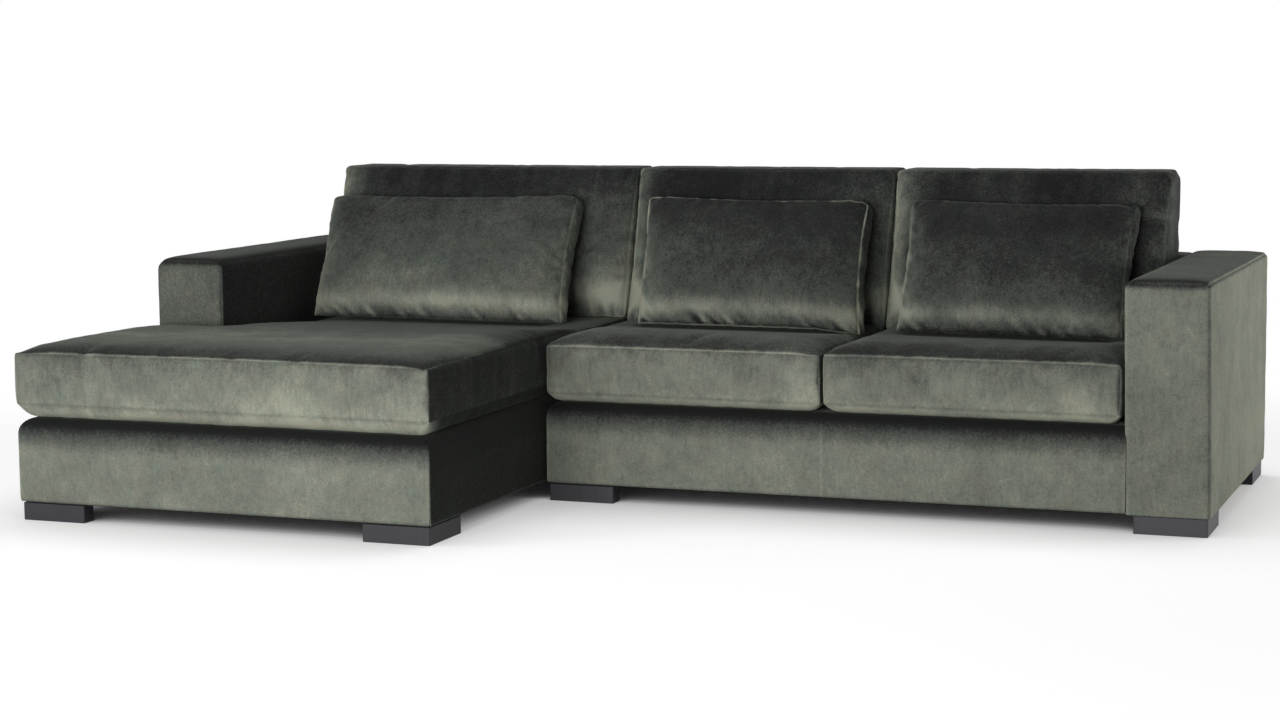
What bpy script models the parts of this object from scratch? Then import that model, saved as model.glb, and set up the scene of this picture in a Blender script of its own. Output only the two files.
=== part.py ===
# Velvet corner sofa with a chaise on the left. A chaise frame and a two-seat frame are hooked
# together under their rails, and nine loose cushions lie on them.
# Metres, +Z up, the front towards -Y. Left and right are as seen from the front. The origin is
# on the floor, under the middle of the outline.

import math

import bmesh
import bpy
from mathutils import Vector

# Plan sizes
OVERALL_WIDTH = 2.921
CHAISE_WIDTH = 1.167
CHAISE_DEPTH = 1.703
SOFA_DEPTH = 1.012
MODULE_GAP = 0.012
ARM_WIDTH = 0.205
BACK_DEPTH = 0.130
LEFT_SEAT_WIDTH = 0.760
CUSHION_OVERHANG = 0.005

# Heights: the feet from the floor, the rest from the underside of the base
FOOT_HEIGHT = 0.046
BASE_HEIGHT = 0.219
ARM_HEIGHT = 0.574
BACK_HEIGHT = 0.572

# Timber and boards
RAIL = 0.025
BOARD = 0.028
WINDOW = 0.235

# Upholstery on the frames
PANEL = 0.010
ROLL_RADIUS = 0.038
ROLL_FLAT = 0.006
ARM_PAD = 0.018
ARM_EDGE = 0.014
BACK_PAD = 0.022
BACK_EDGE = 0.018
DECK_THICKNESS = 0.034
DUST_COVER = 0.0015

# Serpentine springs and their ties. SPRING_FLAT is a share of the pitch
SPRING_WIRE = 0.004
SPRING_HALF_WIDTH = 0.024
SPRING_PITCH = 0.050
SPRING_SPACING = 0.205
SPRING_FLAT = 0.2
TIE_WIRE = 0.0026
TIE_RISE = 0.0005
TIE_FROM_LEFT = 0.150
TIE_FROM_RIGHT = 0.125

# Feet: corner blocks of two wings
FOOT_WING = 0.181
FOOT_THICKNESS = 0.045
FOOT_INSET = 0.006
FOOT_CHAMFER = 0.0015

# Connector between the two frames
CONNECTOR_PLATE = 0.003
CONNECTOR_LENGTH = 0.070
CONNECTOR_REACH = 0.060
CONNECTOR_DROP = 0.020
HOOK_MOUTH = 0.009

# Clearances: between seated pieces, and between cushions that lift past each other
FIT = 0.0003
SLIDE = 0.0015

# Seat cushions, heights from the deck up: lip below the lower seam, band, crown
SEAT_LIP = 0.025
SEAT_BAND = 0.128
SEAT_CROWN = 0.032
SEAT_PRESSED = 0.014
CHAISE_LIP = 0.038
CHAISE_BAND = 0.134
CHAISE_CROWN = 0.018
CHAISE_PRESSED = -0.008
PRESS_MARGIN = 0.060
PRESS_RAMP = 0.200

# Every cushion
CORNER_RADIUS = 0.022
SEAT_CORNER_RADIUS = 0.012
NOTCH_RADIUS = 0.010
DRAW_IN = 0.008
SWELL = 0.006
CROWN_REACH = 0.160
LIP_REACH = 0.070
FILL_MARGIN = 0.022
ZIP_GAP = 0.008
ZIP_LENGTH = 0.400

# Back cushions: thickness at foot and head, measured from the front of the backrest
BACK_CUSHION_RISE = 0.237
BACK_CUSHION_FOOT = 0.280
BACK_CUSHION_HEAD = 0.155
BACK_CUSHION_CROWN = 0.028
ARM_CLEARANCE = 0.013

# Lumbar cushions lean against the back cushions
LUMBAR_LENGTH = 0.400
LUMBAR_BAND = 0.070
LUMBAR_FOOT_BAND = 0.060
LUMBAR_TOE = 0.008
LUMBAR_CROWN = 0.045
LUMBAR_REAR_CROWN = 0.012
LUMBAR_REACH = 0.150
LUMBAR_STANDOFF = 0.485
CHAISE_LUMBAR_STANDOFF = 0.510
LUMBAR_WIDTH = 0.630
CHAISE_LUMBAR_WIDTH = 0.786
CHAISE_LUMBAR_OFFSET = -0.025
LEFT_LUMBAR_OFFSET = 0.036
RIGHT_LUMBAR_OFFSET = 0.008

# How finely the soft forms and round edges are cut
ARC_STEPS = 3
SIDE_STEPS = 5
EDGE_SEGMENTS = 3
ROLL_STEPS = 5
SMOOTH_ANGLE = 40
LEAST_MITRE = 0.3

# Rings of a boxed cushion, as shares of its crown's reach and of its band. A ring that is set
# in has rounder corners and sides that bow outwards, by these shares of the inset
REAR_RINGS = (1.0, 0.5, 0.15)
SWELL_LEVELS = (0.25, 0.75)
FRONT_RINGS = (0.08, 0.25, 0.55, 1.0)
CORNER_SPREAD = 0.6
PANEL_BOW = 0.12
CORNER_SHARE = 0.4
STEEPEST_LEAN = 70

# Planes worked out from the sizes
x_left = -OVERALL_WIDTH / 2
x_right = OVERALL_WIDTH / 2
x_chaise = x_left + CHAISE_WIDTH
x_sofa = x_chaise + MODULE_GAP
x_left_arm = x_left + ARM_WIDTH
x_right_arm = x_right - ARM_WIDTH
x_split = x_sofa + LEFT_SEAT_WIDTH
x_join = (x_chaise + x_sofa) / 2
y_back = (CHAISE_DEPTH + CUSHION_OVERHANG) / 2
y_front = y_back - SOFA_DEPTH
y_chaise = y_back - CHAISE_DEPTH
y_rest = y_back - BACK_DEPTH
y_back_frame = y_rest + BACK_PAD + FIT
z_under = FOOT_HEIGHT + FIT
z_deck = FOOT_HEIGHT + BASE_HEIGHT
z_arm = FOOT_HEIGHT + ARM_HEIGHT
z_backrest = FOOT_HEIGHT + BACK_HEIGHT
z_deck_under = z_deck - DECK_THICKNESS
z_rail_top = z_deck_under - FIT - SPRING_WIRE - FIT
z_rail_under = z_under + DUST_COVER + FIT
z_cushion = z_deck + FIT
roll_depth = ROLL_RADIUS + ROLL_FLAT
rail_face = PANEL + FIT


def make_finish(name, color, roughness, metallic=0.0):
    finish = bpy.data.materials.new(name)
    finish.use_nodes = True
    shader = finish.node_tree.nodes["Principled BSDF"]
    shader.inputs["Base Color"].default_value = (*color, 1.0)
    shader.inputs["Roughness"].default_value = roughness
    shader.inputs["Metallic"].default_value = metallic
    finish.diffuse_color = (*color, 1.0)
    return finish


def place_of(parent):
    """World position of an empty, or of nothing."""
    where = Vector((0, 0, 0))
    while parent:
        where += parent.location
        parent = parent.parent
    return where


def make_empty(name, where, parent=None):
    empty = bpy.data.objects.new(name, None)
    empty.empty_display_size = 0.1
    empty.parent = parent
    empty.location = Vector(where) - place_of(parent)
    bpy.context.scene.collection.objects.link(empty)
    return empty


def make_piece(name, bm, finish, parent, origin=None, smooth=False):
    """Turns a bmesh in world coordinates into an object whose origin is at the given point."""
    bmesh.ops.recalc_face_normals(bm, faces=bm.faces)
    if origin is None:
        low, high = bounds_of(bm)
        origin = (low + high) / 2
    bmesh.ops.translate(bm, verts=bm.verts, vec=-Vector(origin))
    mesh = bpy.data.meshes.new(name)
    bm.to_mesh(mesh)
    bm.free()
    mesh.materials.append(finish)
    if smooth:
        mesh.shade_smooth()
        mesh.set_sharp_from_angle(angle=math.radians(SMOOTH_ANGLE))
    piece = bpy.data.objects.new(name, mesh)
    piece.parent = parent
    piece.location = Vector(origin) - place_of(parent)
    bpy.context.scene.collection.objects.link(piece)
    return piece


def bounds_of(bm):
    low = Vector([min(vert.co[axis] for vert in bm.verts) for axis in range(3)])
    high = Vector([max(vert.co[axis] for vert in bm.verts) for axis in range(3)])
    return low, high


def cut(piece, bm, name):
    """Cuts a closed bmesh out of a piece with a Boolean that stays on it."""
    cutter = make_piece(name, bm, piece.data.materials[0], None)
    cutter.hide_render = True
    cutter.display_type = "WIRE"
    boolean = piece.modifiers.new(name, "BOOLEAN")
    boolean.operation = "DIFFERENCE"
    boolean.solver = "EXACT"
    boolean.object = cutter


def box_mesh(low, high):
    bm = bmesh.new()
    bmesh.ops.create_cube(bm, size=1)
    size = Vector(high) - Vector(low)
    bmesh.ops.scale(bm, verts=bm.verts, vec=size)
    bmesh.ops.translate(bm, verts=bm.verts, vec=(Vector(low) + Vector(high)) / 2)
    return bm


def make_board(name, low, high, finish, parent):
    return make_piece(name, box_mesh(low, high), finish, parent)


def prism_mesh(outline, low, high, place):
    """Extrudes a flat outline of (a, b) points from low to high, placed by place(a, b, c)."""
    bm = bmesh.new()
    start = [bm.verts.new(place(a, b, low)) for a, b in outline]
    end = [bm.verts.new(place(a, b, high)) for a, b in outline]
    bm.faces.new(start)
    bm.faces.new(reversed(end))
    for i in range(len(outline)):
        j = (i + 1) % len(outline)
        bm.faces.new((start[i], end[i], end[j], start[j]))
    return bm


def window_lines(low, high):
    """Edges of the bars and windows across a board: bar, window, bar, and so on."""
    count = max(1, math.ceil((high - low - BOARD) / (WINDOW + BOARD)))
    window = (high - low - BOARD * (count + 1)) / count
    lines = [low]
    for _ in range(count):
        lines += [lines[-1] + BOARD, lines[-1] + BOARD + window]
    return lines + [high]


def windowed_mesh(across, up, through, place):
    """A ladder of boards: a slab with windows right through it, placed by place(a, b, c)."""
    columns = window_lines(*across)
    rows = window_lines(*up)
    bm = bmesh.new()
    verts = {}

    def vert(i, j, k):
        if (i, j, k) not in verts:
            verts[i, j, k] = bm.verts.new(place(columns[i], rows[j], through[k]))
        return verts[i, j, k]

    def solid(i, j):
        inside = 0 <= i < len(columns) - 1 and 0 <= j < len(rows) - 1
        return inside and (i % 2 == 0 or j % 2 == 0)

    for i in range(len(columns) - 1):
        for j in range(len(rows) - 1):
            if not solid(i, j):
                continue
            corners = [(i, j), (i + 1, j), (i + 1, j + 1), (i, j + 1)]
            for k in (0, 1):
                bm.faces.new([vert(a, b, k) for a, b in corners])
            beside = [(i, j - 1), (i + 1, j), (i, j + 1), (i - 1, j)]
            for side, (a, b) in enumerate(beside):
                if not solid(a, b):
                    start = corners[side]
                    end = corners[(side + 1) % 4]
                    bm.faces.new((vert(*start, 0), vert(*end, 0), vert(*end, 1), vert(*start, 1)))
    return bm


def roll_profile():
    """Section of a base panel as (depth, height): a flat face under a rolled padded edge."""
    middle = z_deck - ROLL_RADIUS
    points = [(0, z_under), (0, middle)]
    for step in range(1, ROLL_STEPS + 1):
        turn = math.pi / 2 * step / ROLL_STEPS
        points.append((ROLL_RADIUS * (1 - math.cos(turn)), middle + ROLL_RADIUS * math.sin(turn)))
    points += [(roll_depth, z_deck), (roll_depth, z_deck_under), (PANEL, z_deck_under), (PANEL, z_under)]
    return points


def make_roll_panel(name, start, end, inward, mitres, parent):
    """Runs the rolled section from start to end. A mitre of 1 cuts that end at 45 degrees."""
    start = Vector((*start, 0))
    end = Vector((*end, 0))
    inward = Vector((*inward, 0))
    along = (end - start).normalized()
    bm = bmesh.new()
    ends = []
    for where, way, mitre in ((start, along, mitres[0]), (end, -along, mitres[1])):
        ring = []
        for depth, height in roll_profile():
            point = where + way * (depth * mitre + FIT) + inward * depth
            ring.append(bm.verts.new((point.x, point.y, height)))
        ends.append(ring)
    count = len(ends[0])
    bm.faces.new(ends[0])
    bm.faces.new(reversed(ends[1]))
    for i in range(count):
        j = (i + 1) % count
        bm.faces.new((ends[0][i], ends[0][j], ends[1][j], ends[1][i]))
    return make_piece(name, bm, velvet, parent, smooth=True)


def rounded_box_mesh(low, high, radius):
    """A box whose edges are all rounded, apart from those round its underside."""
    bm = box_mesh(low, high)
    edges = [edge for edge in bm.edges if max(vert.co.z for vert in edge.verts) > high[2] - FIT]
    bmesh.ops.bevel(
        bm, geom=edges, offset=radius, segments=EDGE_SEGMENTS, profile=0.5, affect="EDGES", clamp_overlap=True
    )
    return bm


def make_arm(side, x_low, x_high, parent):
    """A padded cover, open below, over a ladder of boards."""
    cover = make_piece(
        f"{side}_arm_cover",
        rounded_box_mesh((x_low, y_front, z_under), (x_high, y_back, z_arm), ARM_EDGE),
        velvet,
        parent,
        smooth=True,
    )
    inner_low = (x_low + ARM_PAD, y_front + ARM_PAD, z_under - BOARD)
    inner_high = (x_high - ARM_PAD, y_back - ARM_PAD, z_arm - ARM_PAD)
    cut(cover, box_mesh(inner_low, inner_high), f"{side}_arm_hollow")
    frame = windowed_mesh(
        (inner_low[1] + FIT, inner_high[1] - FIT),
        (z_under, inner_high[2] - FIT),
        (inner_low[0] + FIT, inner_high[0] - FIT),
        lambda a, b, c: (c, a, b),
    )
    make_piece(f"{side}_arm_frame", frame, timber, parent)


def make_back(side, x_low, x_high, parent):
    """A padded backrest cover over a ladder of boards. In front it stops at the deck."""
    cover = make_piece(
        f"{side}_back_cover",
        rounded_box_mesh((x_low, y_rest, z_under), (x_high, y_back, z_backrest), BACK_EDGE),
        velvet,
        parent,
        smooth=True,
    )
    inner_low = (x_low + PANEL, y_rest + BACK_PAD, z_under - BOARD)
    inner_high = (x_high - PANEL, y_back - PANEL, z_backrest - BACK_PAD)
    cut(cover, box_mesh(inner_low, inner_high), f"{side}_back_hollow")
    skirt_low = (x_low - BOARD, y_rest - BOARD, z_under - BOARD)
    skirt_high = (x_high + BOARD, y_back_frame, z_deck + FIT)
    cut(cover, box_mesh(skirt_low, skirt_high), f"{side}_back_skirt")
    frame = windowed_mesh(
        (inner_low[0] + FIT, inner_high[0] - FIT),
        (z_under, inner_high[2] - FIT),
        (y_back_frame, inner_high[1] - FIT),
        lambda a, b, c: (a, c, b),
    )
    make_piece(f"{side}_back_frame", frame, timber, parent)


def make_foot(name, corner, ways, parent):
    """An L of two wings, set in from a corner of its frame. ways point along the wings."""
    wing = FOOT_WING
    thick = FOOT_THICKNESS
    outline = [(0, 0), (wing, 0), (wing, thick), (thick, thick), (thick, wing), (0, wing)]

    def place(a, b, c):
        return (corner[0] + ways[0] * (a + FOOT_INSET), corner[1] + ways[1] * (b + FOOT_INSET), c)

    bm = prism_mesh(outline, 0, FOOT_HEIGHT, place)
    bmesh.ops.bevel(bm, geom=bm.edges[:], offset=FOOT_CHAMFER, segments=1, profile=0.5, affect="EDGES")
    return make_piece(name, bm, foot_stain, parent)


def make_feet(module, x_low, x_high, front, parent):
    for row, y, y_way in (("front", front, 1), ("rear", y_back, -1)):
        for side, x, x_way in (("left", x_low, 1), ("right", x_high, -1)):
            make_foot(f"{module}_foot_{row}_{side}", (x, y), (x_way, y_way), parent)


def add_wire(bm, path, radius):
    """A four-sided wire along a level path, mitred at its turns and closed at both ends."""
    rings = []
    for i, point in enumerate(path):
        before = (point - path[max(i - 1, 0)]).normalized() if i else (path[1] - point).normalized()
        after = (path[i + 1] - point).normalized() if i + 1 < len(path) else before
        tangent = (before + after).normalized()
        side = Vector((-tangent.y, tangent.x, 0))
        stretch = 1 / max(side.dot(Vector((-before.y, before.x, 0))), LEAST_MITRE)
        up = Vector((0, 0, radius))
        offsets = (side * radius * stretch, up, -side * radius * stretch, -up)
        rings.append([bm.verts.new(point + offset) for offset in offsets])
    for first, second in zip(rings, rings[1:]):
        for i in range(4):
            j = (i + 1) % 4
            bm.faces.new((first[i], first[j], second[j], second[i]))
    bm.faces.new(rings[0])
    bm.faces.new(reversed(rings[-1]))


def sinuous_path(start, end):
    """A zigzag spring between two rails: straight ends, then loops to either side in turn."""
    length = (end - start).length
    along = (end - start).normalized()
    across = Vector((-along.y, along.x, 0))
    loops = max(2, round(length / SPRING_PITCH) - 1)
    pitch = length / (loops + 1)
    path = [start]
    for loop in range(loops):
        middle = start + along * pitch * (loop + 1)
        way = across * SPRING_HALF_WIDTH * (1 if loop % 2 else -1)
        path += [middle + way - along * pitch * SPRING_FLAT, middle + way + along * pitch * SPRING_FLAT]
    return path + [end]


def spread(low, high):
    """Even places for springs between two rails."""
    count = max(2, round((high - low) / SPRING_SPACING))
    return [low + (high - low) * (i + 0.5) / count for i in range(count)]


def make_spring_deck(name, springs, ties, parent):
    """Springs between the rails, with straight tie wires fused across them."""
    z_spring = z_rail_top + FIT + SPRING_WIRE / 2
    bm = bmesh.new()
    for start, end in springs:
        add_wire(bm, sinuous_path(Vector((*start, z_spring)), Vector((*end, z_spring))), SPRING_WIRE / 2)
    deck = make_piece(name, bm, spring_steel, parent)
    z_tie = z_spring + TIE_RISE
    bm = bmesh.new()
    for start, end in ties:
        add_wire(bm, [Vector((*start, z_tie)), Vector((*end, z_tie))], TIE_WIRE / 2)
    tie_wires = make_piece(f"{name}_ties", bm, spring_steel, None)
    tie_wires.hide_render = True
    tie_wires.display_type = "WIRE"
    union = deck.modifiers.new("ties", "BOOLEAN")
    union.operation = "UNION"
    union.solver = "EXACT"
    union.object = tie_wires


def left_of(way):
    return Vector((-way.y, way.x))


def ring_points(corners, inset, radius, pulls, arc_steps, side_steps):
    """Points round a right-angled outline, set in, with round corners and sides pulled inwards."""
    count = len(corners)
    moved = []
    for i, corner in enumerate(corners):
        before = (corner - corners[i - 1]).normalized()
        after = (corners[(i + 1) % count] - corner).normalized()
        moved.append(corner + inset * (left_of(before) + left_of(after)))
    shortest = min((moved[i] - moved[i - 1]).length for i in range(count))
    ways = [(moved[(i + 1) % count] - moved[i]).normalized() for i in range(count)]
    radii = []
    for i in range(count):
        hollow = left_of(ways[i - 1]).dot(ways[i]) < 0
        radii.append(min(radius, NOTCH_RADIUS if hollow else shortest * CORNER_SHARE))
    points = []
    for i, corner in enumerate(moved):
        back = -ways[i - 1]
        ahead = ways[i]
        for step in range(arc_steps + 1):
            turn = math.pi / 2 * step / arc_steps
            shift = back * (1 - math.sin(turn)) + ahead * (1 - math.cos(turn))
            points.append(corner + radii[i] * shift)
        start = corner + radii[i] * ahead
        end = moved[(i + 1) % count] - radii[(i + 1) % count] * ahead
        for step in range(1, side_steps):
            share = step / side_steps
            pull = pulls[i] * math.sin(math.pi * share)
            points.append(start.lerp(end, share) + pull * left_of(ahead))
    return points


def rise(share):
    """How a crown rises from its seam: steep at the edge, level in the middle."""
    return 1 - (1 - share) ** 3


def loft(rings):
    """Skins rings of points of equal count and closes both ends."""
    bm = bmesh.new()
    loops = [[bm.verts.new(point) for point in ring] for ring in rings]
    count = len(loops[0])
    for first, second in zip(loops, loops[1:]):
        for i in range(count):
            j = (i + 1) % count
            bm.faces.new((first[i], first[j], second[j], second[i]))
    bm.faces.new(loops[0])
    bm.faces.new(reversed(loops[-1]))
    bm.normal_update()
    bmesh.ops.triangulate(bm, faces=bm.faces)
    return bm


def boxed_form(corners, pulled, corner_radius, place, crowns, reaches):
    """A boxed cushion: crowned panels either side of a band that swells between its seams.
    pulled holds 1 for each side that draws in, and 0 for one that lies against something."""
    rear_crown, front_crown = crowns
    rear_reach, front_reach = reaches
    rings = []

    def add_ring(inset, level, extra, draw):
        radius = corner_radius + inset * CORNER_SPREAD
        pulls = [draw * side - inset * PANEL_BOW for side in pulled]
        flat = ring_points(corners, inset, radius, pulls, ARC_STEPS, SIDE_STEPS)
        rings.append([place(point.x, point.y, level, extra) for point in flat])

    for share in REAR_RINGS:
        add_ring(share * rear_reach, 0, -rear_crown * rise(share), DRAW_IN * (1 - share))
    for level, swell in ((0, 0), *((level, SWELL) for level in SWELL_LEVELS), (1, 0)):
        add_ring(0, level, 0, DRAW_IN - swell)
    for share in FRONT_RINGS:
        add_ring(share * front_reach, 1, front_crown * rise(share), DRAW_IN * (1 - share))
    return loft(rings)


def fill_form(corners, place, band, sunk, shrink):
    """The space inside a cushion, or with some shrink the filling in it."""
    margin = FILL_MARGIN + shrink
    rings = []
    for height in (FILL_MARGIN / 2 + shrink, band - sunk - FILL_MARGIN / 2 - shrink):
        flat = ring_points(corners, margin, SEAT_CORNER_RADIUS, [0] * len(corners), 1, 1)
        level = height / band
        rings.append([place(point.x, point.y, level, 0) for point in flat])
    return loft(rings)


def make_cushion(name, form, corners, place, band, sunk, zip_side, origin, parent):
    """Cover with a zip slot, and its filling. Both hang on an empty on the lift axis."""
    lift = make_empty(f"{name}_lift", origin, parent)
    cover = make_piece(f"{name}_cover", form, velvet, lift, origin, smooth=True)
    cut(cover, fill_form(corners, place, band, sunk, 0), f"{name}_space")
    start = corners[zip_side]
    end = corners[(zip_side + 1) % len(corners)]
    middle = (start + end) / 2
    along = (end - start).normalized() * min(ZIP_LENGTH, (end - start).length / 2) / 2
    inward = left_of(along).normalized() * (FILL_MARGIN + ZIP_GAP)
    ends = (middle - along, middle + along)
    slot = [ends[0] - inward, ends[1] - inward, ends[1] + inward, ends[0] + inward]
    half = ZIP_GAP / 2 / band
    rings = [[place(point.x, point.y, level, 0) for point in slot] for level in (0.5 - half, 0.5 + half)]
    cut(cover, loft(rings), f"{name}_zip_slot")
    make_piece(f"{name}_filling", fill_form(corners, place, band, sunk, FIT), foam, lift, origin)
    return lift


def press_down(form, y_line, z_flat):
    """Flattens a seat's crown behind a line, where other cushions lie on it."""
    for y in (y_line, y_line - PRESS_RAMP):
        everything = form.verts[:] + form.edges[:] + form.faces[:]
        bmesh.ops.bisect_plane(form, geom=everything, dist=FIT, plane_co=(0, y, 0), plane_no=(0, 1, 0))
    for vert in form.verts:
        if vert.co.y > y_line - FIT:
            vert.co.z = min(vert.co.z, z_flat)
    bmesh.ops.triangulate(form, faces=form.faces)


def make_seat(name, corners, pulled, zip_side, sizes, standoff):
    """A loose seat cushion on the deck. Returns its lift and the height of its pressed part."""
    lip, band, crown, pressed = sizes
    z_seam = z_cushion + lip
    z_flat = z_seam + band + pressed
    low = [min(corner[axis] for corner in corners) for axis in (0, 1)]
    high = [max(corner[axis] for corner in corners) for axis in (0, 1)]

    def place(a, b, level, extra):
        return Vector((a, b, z_seam + level * band + extra))

    form = boxed_form(corners, pulled, SEAT_CORNER_RADIUS, place, (lip, crown), (LIP_REACH, CROWN_REACH))
    press_down(form, y_rest - standoff - PRESS_MARGIN, z_flat)
    origin = ((low[0] + high[0]) / 2, (low[1] + high[1]) / 2, z_cushion)
    sunk = max(0, -pressed)
    lift = make_cushion(name, form, corners, place, band, sunk, zip_side, origin, None)
    return lift, z_flat + FIT


def leaning_place(foot_rear, foot_front, head_rear, head_front, length):
    """Places a cushion that stands on its foot. The points hold (distance in front of the
    backrest, height), and b runs up the cushion from 0 to length."""

    def place(a, b, level, extra):
        rear = foot_rear.lerp(head_rear, b / length)
        through = foot_front.lerp(head_front, b / length) - rear
        point = rear + through * level + through.normalized() * extra
        return Vector((a, y_rest - point.x, point.y))

    return place


def upright_corners(x_low, x_high, length):
    return [Vector((x_low, 0)), Vector((x_high, 0)), Vector((x_high, length)), Vector((x_low, length))]


def make_back_cushion(name, x_low, x_high, z_seat, parent):
    """A wedge between the seat and the backrest. Returns its lift and its front face."""
    z_head = z_backrest + BACK_CUSHION_RISE
    foot_rear = Vector((SLIDE, z_seat))
    foot_front = Vector((BACK_CUSHION_FOOT, z_seat))
    head_rear = Vector((SLIDE, z_head))
    head_front = Vector((BACK_CUSHION_HEAD, z_head))
    length = z_head - z_seat
    corners = upright_corners(x_low + SLIDE, x_high - SLIDE, length)
    place = leaning_place(foot_rear, foot_front, head_rear, head_front, length)
    crowns = (0, BACK_CUSHION_CROWN)
    form = boxed_form(corners, (0, 1, 1, 1), CORNER_RADIUS, place, crowns, (CROWN_REACH, CROWN_REACH))
    origin = ((x_low + x_high) / 2, y_rest - BACK_CUSHION_FOOT / 2, z_seat)
    lift = make_cushion(name, form, corners, place, BACK_CUSHION_HEAD, 0, 0, origin, parent)

    def front_at(height):
        share = (height - z_seat) / length
        return BACK_CUSHION_FOOT + (BACK_CUSHION_HEAD - BACK_CUSHION_FOOT) * share + BACK_CUSHION_CROWN

    return lift, front_at


def head_of_lumbar(foot, lean):
    """Front and rear seam at the head of a lumbar cushion that leans by this angle."""
    front = foot + LUMBAR_LENGTH * Vector((-math.sin(lean), math.cos(lean)))
    rear = front + LUMBAR_BAND * Vector((-math.cos(lean), -math.sin(lean)))
    return front, rear


def make_lumbar(name, x_middle, width, standoff, z_seat, front_at, parent):
    """Stands on the seat and leans back until its head meets the back cushion."""
    foot = Vector((standoff, z_seat + LUMBAR_TOE))
    low = 0.0
    high = math.radians(STEEPEST_LEAN)
    while high - low > 1e-6:
        lean = (low + high) / 2
        rear = head_of_lumbar(foot, lean)[1]
        if rear.x > front_at(rear.y) + FIT:
            low = lean
        else:
            high = lean
    head_front, head_rear = head_of_lumbar(foot, low)
    foot_rear = Vector((standoff - LUMBAR_FOOT_BAND, z_seat))
    corners = upright_corners(x_middle - width / 2, x_middle + width / 2, LUMBAR_LENGTH)
    place = leaning_place(foot_rear, foot, head_rear, head_front, LUMBAR_LENGTH)
    crowns = (LUMBAR_REAR_CROWN, LUMBAR_CROWN)
    form = boxed_form(corners, (0, 1, 1, 1), CORNER_RADIUS, place, crowns, (LUMBAR_REACH, LUMBAR_REACH))
    origin = (x_middle, y_rest - standoff, z_seat)
    make_cushion(name, form, corners, place, LUMBAR_BAND, 0, 0, origin, parent)


def make_column(side, corners, pulled, zip_side, sizes, x_range, lumbar):
    """One seat with the back and lumbar cushions that stand on it."""
    standoff, width, offset = lumbar
    seat, z_seat = make_seat(f"{side}_seat_cushion", corners, pulled, zip_side, sizes, standoff)
    back, front_at = make_back_cushion(f"{side}_back_cushion", *x_range, z_seat, seat)
    middle = sum(x_range) / 2 + offset
    make_lumbar(f"{side}_lumbar_cushion", middle, width, standoff, z_seat, front_at, back)


def seat_corners(x_low, x_high):
    y_low = y_front - CUSHION_OVERHANG / 2
    y_high = y_rest - SLIDE
    return [
        Vector((x_low + SLIDE, y_low)),
        Vector((x_high - SLIDE, y_low)),
        Vector((x_high - SLIDE, y_high)),
        Vector((x_low + SLIDE, y_high)),
    ]


def chaise_corners():
    """The chaise cushion reaches across the front of the arm, so its outline is an L."""
    y_low = y_chaise - CUSHION_OVERHANG
    y_notch = y_front - SLIDE
    y_high = y_rest - SLIDE
    x_notch = x_left_arm + SLIDE
    x_high = x_join - SLIDE
    return [
        Vector((x_left, y_low)),
        Vector((x_high, y_low)),
        Vector((x_high, y_high)),
        Vector((x_notch, y_high)),
        Vector((x_notch, y_notch)),
        Vector((x_left, y_notch)),
    ]


def make_chaise_base(parent):
    """Six rails on edge, springs across them, padded deck, rolled panels and dust cover."""
    outer_left = x_left + rail_face
    inner_left = x_left_arm + FIT
    outer_right = x_chaise - rail_face
    front = y_chaise + rail_face
    cross = y_front - FIT
    rear = y_back_frame - FIT
    rails = {
        "front_rail": ((outer_left, front), (outer_right, front + RAIL)),
        "rear_rail": ((inner_left, rear - RAIL), (outer_right, rear)),
        "right_rail": ((outer_right - RAIL, front + RAIL + FIT), (outer_right, rear - RAIL - FIT)),
        "cross_rail": ((outer_left, cross - RAIL), (outer_right - RAIL - FIT, cross)),
        "left_front_rail": ((outer_left, front + RAIL + FIT), (outer_left + RAIL, cross - RAIL - FIT)),
        "left_rear_rail": ((inner_left, cross + FIT), (inner_left + RAIL, rear - RAIL - FIT)),
    }
    for rail, (low, high) in rails.items():
        make_board(f"chaise_{rail}", (*low, z_rail_under), (*high, z_rail_top), timber, parent)
    end = outer_right - RAIL / 2
    springs = [
        ((inner_left + RAIL / 2, y), (end, y)) for y in spread(cross + FIT, rear - RAIL)
    ]
    springs += [((outer_left + RAIL / 2, y), (end, y)) for y in spread(front + RAIL, cross - RAIL)]
    ties = [
        ((x, front + RAIL / 2), (x, rear - RAIL / 2))
        for x in (inner_left + TIE_FROM_LEFT, (inner_left + end) / 2, end - TIE_FROM_RIGHT)
    ]
    make_spring_deck("chaise_spring_deck", springs, ties, parent)
    outline = [
        (x_left + roll_depth + FIT, y_chaise + roll_depth + FIT),
        (x_chaise - roll_depth - FIT, y_chaise + roll_depth + FIT),
        (x_chaise - roll_depth - FIT, y_rest + BACK_PAD),
        (x_left_arm + FIT, y_rest + BACK_PAD),
        (x_left_arm + FIT, y_front - FIT),
        (x_left + roll_depth + FIT, y_front - FIT),
    ]
    deck = prism_mesh(outline, z_deck_under, z_deck, lambda a, b, c: (a, b, c))
    make_piece("chaise_seat_deck", deck, deck_cloth, parent)
    outline = [
        (outer_left, front),
        (outer_right, front),
        (outer_right, rear),
        (inner_left, rear),
        (inner_left, y_front - FIT),
        (outer_left, y_front - FIT),
    ]
    cloth = prism_mesh(outline, z_under, z_under + DUST_COVER, lambda a, b, c: (a, b, c))
    make_piece("chaise_dust_cover", cloth, dust_cloth, parent)
    front_left = (x_left, y_chaise)
    front_right = (x_chaise, y_chaise)
    make_roll_panel("chaise_front_panel", front_left, front_right, (0, 1), (1, 1), parent)
    make_roll_panel("chaise_right_panel", front_right, (x_chaise, rear), (-1, 0), (1, 0), parent)
    make_roll_panel("chaise_left_panel", front_left, (x_left, y_front), (1, 0), (1, 0), parent)


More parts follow.
